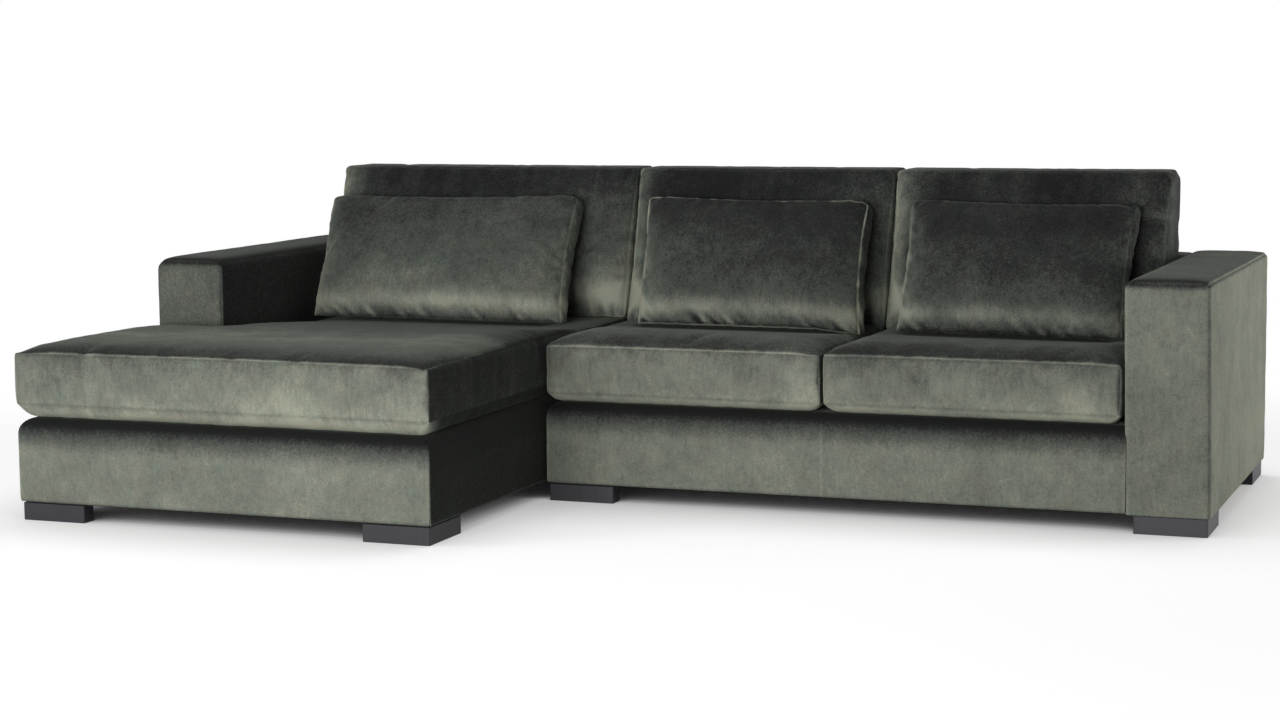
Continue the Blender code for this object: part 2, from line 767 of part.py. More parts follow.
def make_sofa_base(parent):
    """Five rails on edge, springs from front to back, padded deck, panels and dust cover."""
    outer_left = x_sofa + rail_face
    inner_right = x_right_arm - FIT
    front = y_front + rail_face
    rear = y_back_frame - FIT
    side_low = front + RAIL + FIT
    side_high = rear - RAIL - FIT
    rails = {
        "front_rail": ((outer_left, front), (inner_right, front + RAIL)),
        "rear_rail": ((outer_left, rear - RAIL), (inner_right, rear)),
        "left_rail": ((outer_left, side_low), (outer_left + RAIL, side_high)),
        "centre_rail": ((x_split - RAIL / 2, side_low), (x_split + RAIL / 2, side_high)),
        "right_rail": ((inner_right - RAIL, side_low), (inner_right, side_high)),
    }
    for rail, (low, high) in rails.items():
        make_board(f"sofa_{rail}", (*low, z_rail_under), (*high, z_rail_top), timber, parent)
    places = spread(outer_left + RAIL, x_split - RAIL / 2) + spread(x_split + RAIL / 2, inner_right - RAIL)
    springs = [((x, front + RAIL / 2), (x, rear - RAIL / 2)) for x in places]
    ties = [
        ((outer_left + RAIL / 2, y), (inner_right - RAIL / 2, y))
        for y in (side_low + (side_high - side_low) / 3, side_high - (side_high - side_low) / 3)
    ]
    make_spring_deck("sofa_spring_deck", springs, ties, parent)
    deck_low = (x_sofa + roll_depth + FIT, y_front + roll_depth + FIT, z_deck_under)
    make_board("sofa_seat_deck", deck_low, (x_right_arm - FIT, y_rest + BACK_PAD, z_deck), deck_cloth, parent)
    cloth_high = (inner_right, rear, z_under + DUST_COVER)
    make_board("sofa_dust_cover", (outer_left, front, z_under), cloth_high, dust_cloth, parent)
    front_left = (x_sofa, y_front)
    make_roll_panel("sofa_front_panel", front_left, (x_right_arm, y_front), (0, 1), (1, 0), parent)
    make_roll_panel("sofa_left_panel", front_left, (x_sofa, rear), (1, 0), (1, 0), parent)


def make_connector(parent):
    """A tab under the sofa drops into a hook under the chaise, and lifts out again."""
    plate = CONNECTOR_PLATE
    top = FOOT_HEIGHT
    drop = top - CONNECTOR_DROP
    tab = x_sofa + plate
    hook = tab - plate - FIT
    far = tab + FIT + plate
    tab_outline = [
        (tab, top),
        (tab + CONNECTOR_REACH, top),
        (tab + CONNECTOR_REACH, top - plate),
        (tab, top - plate),
        (tab, drop + plate + FIT),
        (tab - plate, drop + plate + FIT),
        (tab - plate, top),
    ]
    hook_outline = [
        (hook, top),
        (hook - CONNECTOR_REACH, top),
        (hook - CONNECTOR_REACH, top - plate),
        (hook - plate, top - plate),
        (hook - plate, drop),
        (far, drop),
        (far, top - HOOK_MOUTH),
        (far - plate, top - HOOK_MOUTH),
        (far - plate, drop + plate),
        (hook, drop + plate),
    ]
    middle = (y_front + y_rest) / 2
    for name, outline in (("sofa_connector_tab", tab_outline), ("chaise_connector_hook", hook_outline)):
        bm = prism_mesh(
            outline,
            middle - CONNECTOR_LENGTH / 2,
            middle + CONNECTOR_LENGTH / 2,
            lambda a, b, c: (a, c, b),
        )
        make_piece(name, bm, plated_steel, parent)


def make_cushions():
    chaise_sizes = (CHAISE_LIP, CHAISE_BAND, CHAISE_CROWN, CHAISE_PRESSED)
    sofa_sizes = (SEAT_LIP, SEAT_BAND, SEAT_CROWN, SEAT_PRESSED)
    make_column(
        "chaise",
        chaise_corners(),
        (1, 1, 0, 1, 1, 1),
        2,
        chaise_sizes,
        (x_left_arm + ARM_CLEARANCE, x_join),
        (CHAISE_LUMBAR_STANDOFF, CHAISE_LUMBAR_WIDTH, CHAISE_LUMBAR_OFFSET),
    )
    make_column(
        "left",
        seat_corners(x_join, x_split),
        (1, 1, 0, 1),
        2,
        sofa_sizes,
        (x_join, x_split),
        (LUMBAR_STANDOFF, LUMBAR_WIDTH, LEFT_LUMBAR_OFFSET),
    )
    make_column(
        "right",
        seat_corners(x_split, x_right_arm - ARM_CLEARANCE),
        (1, 1, 0, 1),
        2,
        sofa_sizes,
        (x_split, x_right_arm - ARM_CLEARANCE),
        (LUMBAR_STANDOFF, LUMBAR_WIDTH, RIGHT_LUMBAR_OFFSET),
    )


for old in list(bpy.data.objects):
    bpy.data.objects.remove(old, do_unlink=True)

velvet = make_finish("grey_green_velvet", (0.060, 0.072, 0.063), 0.75)
timber = make_finish("beech_and_plywood", (0.55, 0.40, 0.25), 0.6)
spring_steel = make_finish("spring_steel", (0.35, 0.35, 0.36), 0.35, 1.0)
plated_steel = make_finish("zinc_plated_steel", (0.55, 0.55, 0.57), 0.3, 1.0)
deck_cloth = make_finish("deck_cloth", (0.05, 0.055, 0.05), 0.9)
dust_cloth = make_finish("dust_cloth", (0.02, 0.02, 0.02), 0.95)
foot_stain = make_finish("black_stained_wood", (0.02, 0.02, 0.022), 0.45)
foam = make_finish("cushion_foam", (0.75, 0.70, 0.55), 0.9)

chaise_module = make_empty("chaise_module", ((x_left + x_chaise) / 2, y_back, 0))
sofa_module = make_empty("sofa_module", ((x_sofa + x_right) / 2, y_back, 0))
make_chaise_base(chaise_module)
make_arm("left", x_left, x_left_arm, chaise_module)
make_back("chaise", x_left_arm + FIT, x_chaise, chaise_module)
make_feet("chaise", x_left, x_chaise, y_chaise, chaise_module)
make_sofa_base(sofa_module)
make_arm("right", x_right_arm, x_right, sofa_module)
make_back("sofa", x_sofa, x_right_arm - FIT, sofa_module)
make_feet("sofa", x_sofa, x_right, y_front, sofa_module)
make_connector(sofa_module)
make_cushions()
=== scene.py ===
# Velvet corner sofa with a chaise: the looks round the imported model. Metres, front towards -Y
import math

import bmesh
import bpy
import numpy as np
from mathutils import Matrix, Vector, noise
from mathutils.bvhtree import BVHTree


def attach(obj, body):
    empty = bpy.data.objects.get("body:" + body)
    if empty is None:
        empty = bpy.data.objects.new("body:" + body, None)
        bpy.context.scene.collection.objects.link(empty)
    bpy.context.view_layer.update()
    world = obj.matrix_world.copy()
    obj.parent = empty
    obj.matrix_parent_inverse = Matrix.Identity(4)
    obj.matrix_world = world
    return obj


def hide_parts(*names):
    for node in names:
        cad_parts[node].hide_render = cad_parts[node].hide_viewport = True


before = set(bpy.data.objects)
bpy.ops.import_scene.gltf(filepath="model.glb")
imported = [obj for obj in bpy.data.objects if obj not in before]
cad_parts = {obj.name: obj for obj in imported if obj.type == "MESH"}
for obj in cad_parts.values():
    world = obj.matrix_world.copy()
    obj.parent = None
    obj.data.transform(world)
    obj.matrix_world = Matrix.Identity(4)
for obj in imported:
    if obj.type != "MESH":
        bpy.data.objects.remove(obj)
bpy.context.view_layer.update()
scene = bpy.context.scene
print("frame loaded")

# planes of the two frames, the same as in the part's source, and the gaps kept between pieces
planes = {
    "left": -1.4605, "leftArm": -1.2555, "chaise": -0.2935, "join": -0.2875, "sofa": -0.2815, "split": 0.4785,
    "rightArm": 1.2555, "right": 1.4605, "back": 0.854, "rest": 0.724,
    "recess": 0.022,  # from the backrest's front to the rear of the rear rail
    "front": -0.158, "chaiseFront": -0.849, "under": 0.0463, "deck": 0.265, "arm": 0.620, "backrest": 0.618,
    "headroom": 0.237,  # from the backrest's top to the head of the back cushions
    "fit": 0.0003, "slide": 0.0015,
}
onIt = 1e-6  # how close counts as on a plane
farAway = 9.0  # stands in for a distance to a seam that a point has nothing to do with


# materials


def hexLinear(code):
    # sRGB hex to the linear colour that a shader takes
    parts = [int(code[i : i + 2], 16) / 255 for i in (0, 2, 4)]
    return tuple(c / 12.92 if c <= 0.04045 else ((c + 0.055) / 1.055) ** 2.4 for c in parts) + (1.0,)


def fillNode(tree, node, given):
    # sets what is given by name: the stops of a ramp, links from other nodes, settings and values
    for key, value in given.items():
        if key == "stops":
            while len(node.color_ramp.elements) < len(value):
                node.color_ramp.elements.new(0.5)
            for element, (position, code) in zip(node.color_ramp.elements, value):
                element.position = position
                element.color = hexLinear(code)
        elif isinstance(value, bpy.types.NodeSocket):
            tree.links.new(value, node.inputs[key])
        elif isinstance(key, str) and hasattr(node, key):
            setattr(node, key, value)
        else:
            node.inputs[key].default_value = value


def addNode(tree, kind, given=None, out=0):
    # adds a node and returns one of its outputs
    node = tree.nodes.new("ShaderNode" + kind)
    fillNode(tree, node, given or {})
    return node.outputs[out] if node.outputs else None


def addMath(tree, operation, *terms):
    return addNode(tree, "Math", {"operation": operation, **dict(enumerate(terms))})


def addNoise(tree, place, sizeMm, detail, bend=0.0, roughness=0.5):
    given = {"Scale": 1000 / sizeMm, "Detail": detail, "Roughness": roughness, "Distortion": bend, "Vector": place}
    return addNode(tree, "TexNoise", given, "Fac")


def newMaterial(name, fixed):
    mat = bpy.data.materials.new(name)
    mat.use_nodes = True
    mat.diffuse_color = (0.3, 0.3, 0.3, 1.0)
    tree = mat.node_tree
    shader = tree.nodes["Principled BSDF"]
    fillNode(tree, shader, fixed)
    return mat, tree, shader, addNode(tree, "TexCoord", out="Object")


def colourBy(tree, shader, pattern, stops):
    fillNode(tree, shader, {"Base Color": addNode(tree, "ValToRGB", {"Fac": pattern, "stops": stops})})


def dentBy(tree, shader, pattern, strength, distance):
    given = {"Strength": strength, "Distance": distance, "Height": pattern}
    fillNode(tree, shader, {"Normal": addNode(tree, "Bump", given)})


velvetLook = {
    "stops": [(0.0, "191a1a"), (0.25, "2c2d2d"), (0.55, "4e514d"), (0.8, "6f7169"), (1.0, "8b8c80")],
    "tints": [(0.36, "f3faf4"), (0.64, "fbf9f3")],
    "tintMm": 45,  # patches that lean to grey-green or to warm grey
    "pileMm": 1.6,  # real tufts are 0.3 mm, drawn coarser so that they show
    "patterns": {
        # lanes left by a hand brushed over the pile
        "stroke": {"mm": 230, "share": 0.24, "detail": 2.0, "bend": 0.5},
        # patches where the pile is pressed over
        "crush": {"mm": 42, "share": 0.17, "detail": 4.0, "bend": 0.8},
        # short streaks down the pile
        "streak": {"mm": 10, "share": 0.12, "detail": 2.0, "bend": 0.3, "stretch": (1.0, 1.0, 0.22)},
        "fleck": {"mm": 4.5, "share": 0.20, "detail": 2.0, "bend": 0.0, "stretch": (1.0, 0.3, 1.0)},
    },
    "sheen": 0.12, "sheenTint": "b9c2b4",
}


def makeVelvet(look):
    # cut-pile velvet: soft matte body, a pale glow at grazing angles, and patches where the pile lies over
    fixed = {
        "Roughness": 0.82, "IOR": 1.4, "Specular IOR Level": 0.08, "Sheen Weight": look["sheen"],
        "Sheen Roughness": 0.38, "Sheen Tint": hexLinear(look["sheenTint"]),
    }
    mat, tree, shader, place = newMaterial("cutPileVelvet", fixed)
    # the pile attribute holds each piece's tone together with its painted light and shade
    tone = addNode(tree, "Attribute", {"attribute_name": "pile"}, "Fac")
    rub = addNode(tree, "Attribute", {"attribute_name": "rub"}, "Fac")
    evenly = addNode(tree, "MapRange", {"From Max": 0.8, "To Min": 1.8, "To Max": 0.8, "Value": tone})
    drawn = {}
    for key, kind in look["patterns"].items():
        where = place
        if "stretch" in kind:
            where = addNode(tree, "Mapping", {"Scale": kind["stretch"], "Vector": place})
        drawn[key] = addNoise(tree, where, kind["mm"], kind["detail"], kind["bend"], 0.58)
        shade = addMath(tree, "MULTIPLY", addMath(tree, "SUBTRACT", drawn[key], 0.5), kind["share"] * 2)
        shade = addMath(tree, "MULTIPLY", shade, evenly if key == "fleck" else rub)
        tone = addMath(tree, "ADD", tone, shade)
    colour = addNode(tree, "ValToRGB", {"Fac": tone, "stops": look["stops"]})
    lean = addNoise(tree, place, look["tintMm"], 3.0)
    tint = addNode(tree, "ValToRGB", {"Fac": lean, "stops": look["tints"]})
    tufts = addNoise(tree, place, look["pileMm"], 1.0)
    coarse = addNode(tree, "Bump", {"Strength": 0.25, "Distance": 0.003, "Height": drawn["crush"]})
    fine = {"Strength": 0.25, "Distance": 0.0006, "Height": tufts, "Normal": coarse}
    made = {
        "Base Color": addNode(tree, "VectorMath", {"operation": "MULTIPLY", 0: colour, 1: tint}),
        "Roughness": addNode(tree, "MapRange", {"To Min": 0.74, "To Max": 0.9, "Value": drawn["crush"]}),
        "Normal": addNode(tree, "Bump", fine),
    }
    fillNode(tree, shader, made)
    return mat


def makeWood(name, darkHex, lightHex, grainMm, roughness, along, coat):
    # timber: long pores along the board, so the pattern is drawn out along one axis
    fixed = {"Roughness": roughness, "Specular IOR Level": 0.3, "Coat Weight": coat, "Coat Roughness": 0.35}
    mat, tree, shader, place = newMaterial(name, fixed)
    stretch = [1.0, 1.0, 1.0]
    stretch[along] = 0.06
    mapped = addNode(tree, "Mapping", {"Scale": stretch, "Vector": place})
    grain = addNoise(tree, mapped, grainMm, 4.0, 0.4)
    colourBy(tree, shader, grain, [(0.3, darkHex), (0.7, lightHex)])
    dentBy(tree, shader, grain, 0.2, 0.0005)
    return mat


def makeSteel(name, lightHex, darkHex, roughness, scratchMm):
    # bright wire or zinc plate: hard highlights broken by drawing marks
    mat, tree, shader, place = newMaterial(name, {"Metallic": 1.0, "Roughness": roughness})
    marks = addNoise(tree, place, scratchMm, 3.0)
    colourBy(tree, shader, marks, [(0.35, darkHex), (0.65, lightHex)])
    spread = {"To Min": roughness - 0.08, "To Max": roughness + 0.12, "Value": marks}
    fillNode(tree, shader, {"Roughness": addNode(tree, "MapRange", spread)})
    return mat


def makeCloth(name, lightHex, darkHex, threadMm, roughness, depth):
    # plain cloth: two sets of threads crossing, each rounded, drawn about three times too coarse to show
    fixed = {"Roughness": roughness, "Sheen Weight": 0.1, "Specular IOR Level": 0.2}
    mat, tree, shader, place = newMaterial(name, fixed)
    bandsInOne = 6.3  # bands that a wave pattern of scale 1 draws in a metre
    threads = {"wave_type": "BANDS", "Scale": 1000 / threadMm / bandsInOne, "Distortion": 0.6, "Vector": place}
    waves = [addNode(tree, "TexWave", {**threads, "bands_direction": way}, "Fac") for way in "XY"]
    weave = addMath(tree, "MULTIPLY", *waves)
    blend = addMath(tree, "MULTIPLY_ADD", weave, 0.5, addNoise(tree, place, 120, 3.0))
    colourBy(tree, shader, blend, [(0.3, darkHex), (0.9, lightHex)])
    dentBy(tree, shader, weave, 0.4, depth)
    return mat


velvet = makeVelvet(velvetLook)
beech = makeWood("sawnBeech", "a9825a", "c9a57c", 9, 0.62, 0, 0.0)
feetWood = makeWood("blackStainedBeech", "18181c", "212126", 5, 0.6, 2, 0.15)
springWire = makeSteel("drawnSpringWire", "8d8f93", "55575b", 0.32, 3)
zincPlate = makeSteel("zincPlatedSteel", "c4c6c8", "9a9ca0", 0.28, 6)
platformCloth = makeCloth("platformCloth", "3c413d", "262a28", 1.8, 0.92, 0.0006)
dustCloth = makeCloth("spunBondedDustCloth", "1c1c1d", "0e0e0f", 2.4, 0.95, 0.0004)
zipTape = makeCloth("zipTape", "3a403c", "262b29", 1.2, 0.85, 0.0004)
zipCoil = makeCloth("zipCoil", "2b2f2d", "1b1e1d", 0.9, 0.5, 0.0002)
print("materials ready")


# shared modelling steps


def planPrism(xLines, yLines, zLines, notch=None):
    # a block cut on the given lines, with the rear left corner left out where there is a notch
    bm = bmesh.new()
    spans = (len(xLines) - 1, len(yLines) - 1)
    bmesh.ops.create_grid(bm, x_segments=spans[0], y_segments=spans[1], size=0.5)
    for vert in bm.verts:
        column = round((vert.co.x + 0.5) * spans[0])
        row = round((vert.co.y + 0.5) * spans[1])
        vert.co = Vector((xLines[column], yLines[row], zLines[0]))
    if notch:
        gone = [f for f in bm.faces if f.calc_center_median().x < notch[0] and f.calc_center_median().y > notch[1]]
        bmesh.ops.delete(bm, geom=gone, context="FACES")
    raised = bmesh.ops.extrude_face_region(bm, geom=bm.faces[:])
    top = [item for item in raised["geom"] if isinstance(item, bmesh.types.BMVert)]
    bmesh.ops.translate(bm, verts=top, vec=(0, 0, zLines[-1] - zLines[0]))
    for line in zLines[1:-1]:
        everything = bm.verts[:] + bm.edges[:] + bm.faces[:]
        bmesh.ops.bisect_plane(bm, geom=everything, dist=onIt, plane_co=(0, 0, line), plane_no=(0, 0, 1))
    return bm


def cutsIn(low, high, step):
    return max(math.ceil((high - low) / step - onIt) - 1, 0)


def loopCut(bm, axis, lines, step):
    # cuts every span between two lines so finely that no cell is wider than a step
    for low, high in zip(lines, lines[1:]):
        cuts = cutsIn(low, high, step)
        if not cuts:
            continue
        edges = []
        for edge in bm.edges:
            a, b = (vert.co[axis] for vert in edge.verts)
            if abs(abs(a - b) - (high - low)) < 1e-5 and abs((a + b) / 2 - (low + high) / 2) < 1e-5:
                edges.append(edge)
        bmesh.ops.subdivide_edges(bm, edges=edges, cuts=cuts, use_grid_fill=True)


def edgeLines(low, high, steps):
    # lines close to both ends, for tight seams and rounded edges
    return [low] + [low + s for s in steps] + [high - s for s in reversed(steps)] + [high]


def planLines(outline, rows, notch, notchRows):
    # the lines that a plan is cut on: close to its outer edges, and round the notch
    xLow, xHigh, yLow, yHigh = outline
    xLines, yLines = edgeLines(xLow, xHigh, rows), edgeLines(yLow, yHigh, rows)
    if notch:
        xLines = sorted(xLines + [notch[0] + row for row in notchRows])
        yLines = sorted(yLines + [notch[1] - row for row in notchRows])
    return xLines, yLines


def toObject(bm, name, mat):
    bmesh.ops.recalc_face_normals(bm, faces=bm.faces)
    mesh = bpy.data.meshes.new(name)
    bm.to_mesh(mesh)
    bm.free()
    mesh.materials.append(mat)
    mesh.shade_smooth()
    piece = bpy.data.objects.new(name, mesh)
    scene.collection.objects.link(piece)
    return piece


def putInOrder(items, key):
    ranks = {item: rank for rank, item in enumerate(sorted(items, key=key))}
    items.sort(key=ranks.get)
    items.index_update()


def cutBlock(name, lines, cells, notch, mat):
    # a block on the given lines, its cells no wider than the given steps
    bm = planPrism(*lines, notch)
    for axis in range(3):
        loopCut(bm, axis, lines[axis], cells[axis])
        stops = [np.linspace(a, b, cutsIn(a, b, cells[axis]) + 2) for a, b in zip(lines[axis], lines[axis][1:])]
        stops = np.concatenate(stops)
        for vert in bm.verts:
            vert.co[axis] = stops[np.abs(stops - vert.co[axis]).argmin()]
    # operators leave the points in another order each time, and the cloth would come out differently
    putInOrder(bm.verts, lambda vert: vert.co[:])
    for items in (bm.edges, bm.faces):
        putInOrder(items, lambda item: sorted(vert.index for vert in item.verts))
    return toObject(bm, name, mat)


def readVectors(items, key):
    flat = np.empty(len(items) * 3, np.float32)
    items.foreach_get(key, flat)
    return flat.reshape(-1, 3).astype(float)


def readPoints(mesh):
    return readVectors(mesh.vertices, "co")


def readNormals(mesh):
    return readVectors(mesh.vertex_normals, "vector")


def writePoints(mesh, points):
    mesh.vertices.foreach_set("co", points.astype(np.float32).ravel())
    mesh.update()


def readValues(mesh, name):
    values = np.zeros(len(mesh.vertices), np.float32)
    mesh.attributes[name].data.foreach_get("value", values)
    return values.astype(float)


def writeValues(mesh, name, values):
    layer = mesh.attributes.get(name) or mesh.attributes.new(name, "FLOAT", "POINT")
    layer.data.foreach_set("value", np.asarray(values, np.float32))


def bakeModifiers(piece):
    # puts what the modifiers make into the piece's own mesh
    graph = bpy.context.evaluated_depsgraph_get()
    made = bpy.data.meshes.new_from_object(piece.evaluated_get(graph), depsgraph=graph)
    piece.modifiers.clear()
    piece.vertex_groups.clear()
    old = piece.data
    piece.data = made
    made.name = piece.name
    bpy.data.meshes.remove(old)


def refine(piece):
    smooth = piece.modifiers.new("smooth", "SUBSURF")
    smooth.levels = 1
    smooth.render_levels = 1
    bakeModifiers(piece)


def cloud(points, size, seed):
    # smooth noise from -1 to 1 at the given points, with lumps of about this size in metres
    shift = Vector((seed * 7.31, seed * 3.17, seed * 5.53))
    return np.array([noise.noise(Vector(p) / size + shift) for p in points])


def ramp01(values):
    return np.clip(values, 0, 1)


def bell(away, width):
    # 1 in the middle, fading to both sides
    return np.exp(-((away / width) ** 2))


def rise(share):
    share = ramp01(share)
    return 1 - (1 - share) ** 3


def puff(pad, held, look):
    # blows the cover up like stuffing does, holding the given share of each point, then limits how far it moved
    start = readPoints(pad.data)
    group = pad.vertex_groups.new(name="held")
    for level in (0.25, 0.5, 0.75, 1.0):
        chosen = np.nonzero(np.abs(held - level) <= 0.125)[0]
        group.add([int(i) for i in chosen], level, "REPLACE")
    cloth = pad.modifiers.new("cloth", "CLOTH")
    stiff = look["stiff"]
    given = {
        "quality": 4, "mass": 0.3, "tension_stiffness": stiff, "compression_stiffness": stiff,
        "shear_stiffness": stiff / 3, "bending_stiffness": look["bend"], "air_damping": 2.0,
        "use_pressure": True, "uniform_pressure_force": look["pressure"], "shrink_min": -look["slack"],
        "vertex_group_mass": "held", "pin_stiffness": 1.0,
    }
    for key, value in given.items():
        setattr(cloth.settings, key, value)
    cloth.settings.effector_weights.gravity = 0
    cloth.collision_settings.use_collision = False
    cloth.point_cache.frame_start = 1
    cloth.point_cache.frame_end = look["frames"]
    for step in range(1, look["frames"] + 1):
        scene.frame_set(step)
    graph = bpy.context.evaluated_depsgraph_get()
    moved = readPoints(pad.evaluated_get(graph).data) - start
    pad.modifiers.remove(cloth)
    pad.vertex_groups.clear()
    scene.frame_set(1)
    length = np.linalg.norm(moved, axis=1)
    limit = look["cap"] * np.tanh(length / look["cap"])
    moved *= (limit / np.maximum(length, 1e-9))[:, None]
    writePoints(pad.data, start + moved)


def keepWithin(points, limits):
    # flattens what would pass a plane: limits hold (axis, way, value), and the cloth eases into the plane over 4 mm
    ease = 0.004
    for axis, way, value in limits:
        beyond = (points[:, axis] - value) * way + ease
        over = np.maximum(beyond, 0)
        points[:, axis] -= way * (over - ease * (1 - np.exp(-over / ease)))
    return points


def surfaceOf(mesh):
    return BVHTree.FromPolygons([v.co[:] for v in mesh.vertices], [list(p.vertices) for p in mesh.polygons])


def clearOf(piece, others, gap):
    # pushes points that are inside other pieces out to their surface
    points = readPoints(piece.data)
    margin, reach = 0.02, 0.08  # round the other's box, and up to its surface
    for other in others:
        tree = surfaceOf(other.data)
        theirs = readPoints(other.data)
        low, high = theirs.min(axis=0) - margin, theirs.max(axis=0) + margin
        for i in np.nonzero(((points > low) & (points < high)).all(axis=1))[0]:
            spot = Vector(points[i])
            found, normal, _, away = tree.find_nearest(spot, reach)
            if found is None:
                continue
            depth = (spot - found).dot(normal)
            if depth < gap and (away < gap or depth < 0):
                points[i] = found + normal * gap
    writePoints(piece.data, points)


def roundEdge(points, first, second, radius):
    # rounds the edge between two faces, each given as (axis, way, place)
    axisA, wayA, placeA = first
    axisB, wayB, placeB = second
    a = (points[:, axisA] - placeA) * wayA + radius
    b = (points[:, axisB] - placeB) * wayB + radius
    zone = (a > 0) & (b > 0)
    length = np.maximum(np.hypot(a, b), 1e-9)
    scale = np.where(zone, np.maximum(a, b) / length, 1.0)
    points[:, axisA] += wayA * a * (scale - 1)
    points[:, axisB] += wayB * b * (scale - 1)


# cushions

boxedLook = {
    "seamRows": [0.005, 0.013, 0.026],  # rows of cells beside a seam, from it inwards
    "bandRows": [0.006, 0.017], "seamDepth": 0.0034, "seamRoll": 0.0011, "cornerDepth": 0.0016,
}
zipLook = {
    "long": 0.40,
    "deep": 0.0048,  # how deep the zip lies in the band
    "rows": [-0.016, -0.007, 0.007, 0.016], "pitch": 0.0028, "steps": 50,
    "offsets": [-0.012, -0.006, -0.0022, 0.0022, 0.006, 0.012], "tooth": (0.0019, 0.0030, 0.0013),
}


def outlineSides(xLow, xHigh, yLow, yHigh, notch, pulls):
    # each side of the outline: axis, way inwards, place, the span that it runs over, and its (draw, swell)
    return [
        (1, 1, yLow, xLow, xHigh, pulls[0]), (0, -1, xHigh, yLow, yHigh, pulls[1]),
        (1, -1, yHigh, notch[0] if notch else xLow, xHigh, pulls[2]),
        (0, 1, xLow, yLow, notch[1] if notch else yHigh, pulls[3]),
    ]


def boxedShape(points, sides, notch, spec):
    # a flat block becomes a boxed cushion's plan: sides drawn in between the corners, and a band that swells
    plan = points[:, :2].copy()
    level = points[:, 2]
    count, reach = len(points), spec["reach"]
    shift, crown = np.zeros((count, 2)), np.ones(count)
    crownReach = np.where(level < 0.5, spec.get("lowReach", reach), reach)
    edge = np.full(count, farAway)
    along = np.zeros(count)
    for number, (axis, way, value, low, high, pull) in enumerate(sides):
        run = plan[:, 1 - axis]
        away = (plan[:, axis] - value) * way
        inSpan = (run >= low - onIt) & (run <= high + onIt)
        bow = np.sin(math.pi * np.clip((run - low) / (high - low), 0, 1)) ** 0.6
        fade = np.clip(1 - away / reach, 0, 1) ** 2
        swell = spec["swell"] * 4 * level * (1 - level) * (away < onIt) * np.minimum(1, bow * 1.6)
        shift[:, axis] += way * inSpan * (pull[0] * spec["drawIn"] * bow * fade - pull[1] * swell)
        inside = np.where(inSpan, away, np.hypot(away, np.maximum(low - run, run - high)))
        crown *= rise(np.maximum(inside, 0) / crownReach)
        nearer = inSpan & (away < edge)
        edge[nearer] = away[nearer]
        along[nearer] = run[nearer] + number * 10
    if notch:
        away = np.hypot(np.maximum(plan[:, 0] - notch[0], 0), np.maximum(notch[1] - plan[:, 1], 0))
        crown *= rise(away / crownReach)
        nearer = away < edge
        edge[nearer] = away[nearer]
        along[nearer] = plan[nearer, 0] + plan[nearer, 1] + 50
    return plan + shift, level, crown, edge, along


def roundPlan(plan, outline, radii):
    # rounds the corners of the plan: low left, low right, high right, high left
    xLow, xHigh, yLow, yHigh = outline
    places = ((xLow, -1, yLow, -1), (xHigh, 1, yLow, -1), (xHigh, 1, yHigh, 1), (xLow, -1, yHigh, 1))
    for radius, (x, wayX, y, wayY) in zip(radii, places):
        roundEdge(plan, (0, wayX, x), (1, wayY, y), radius)


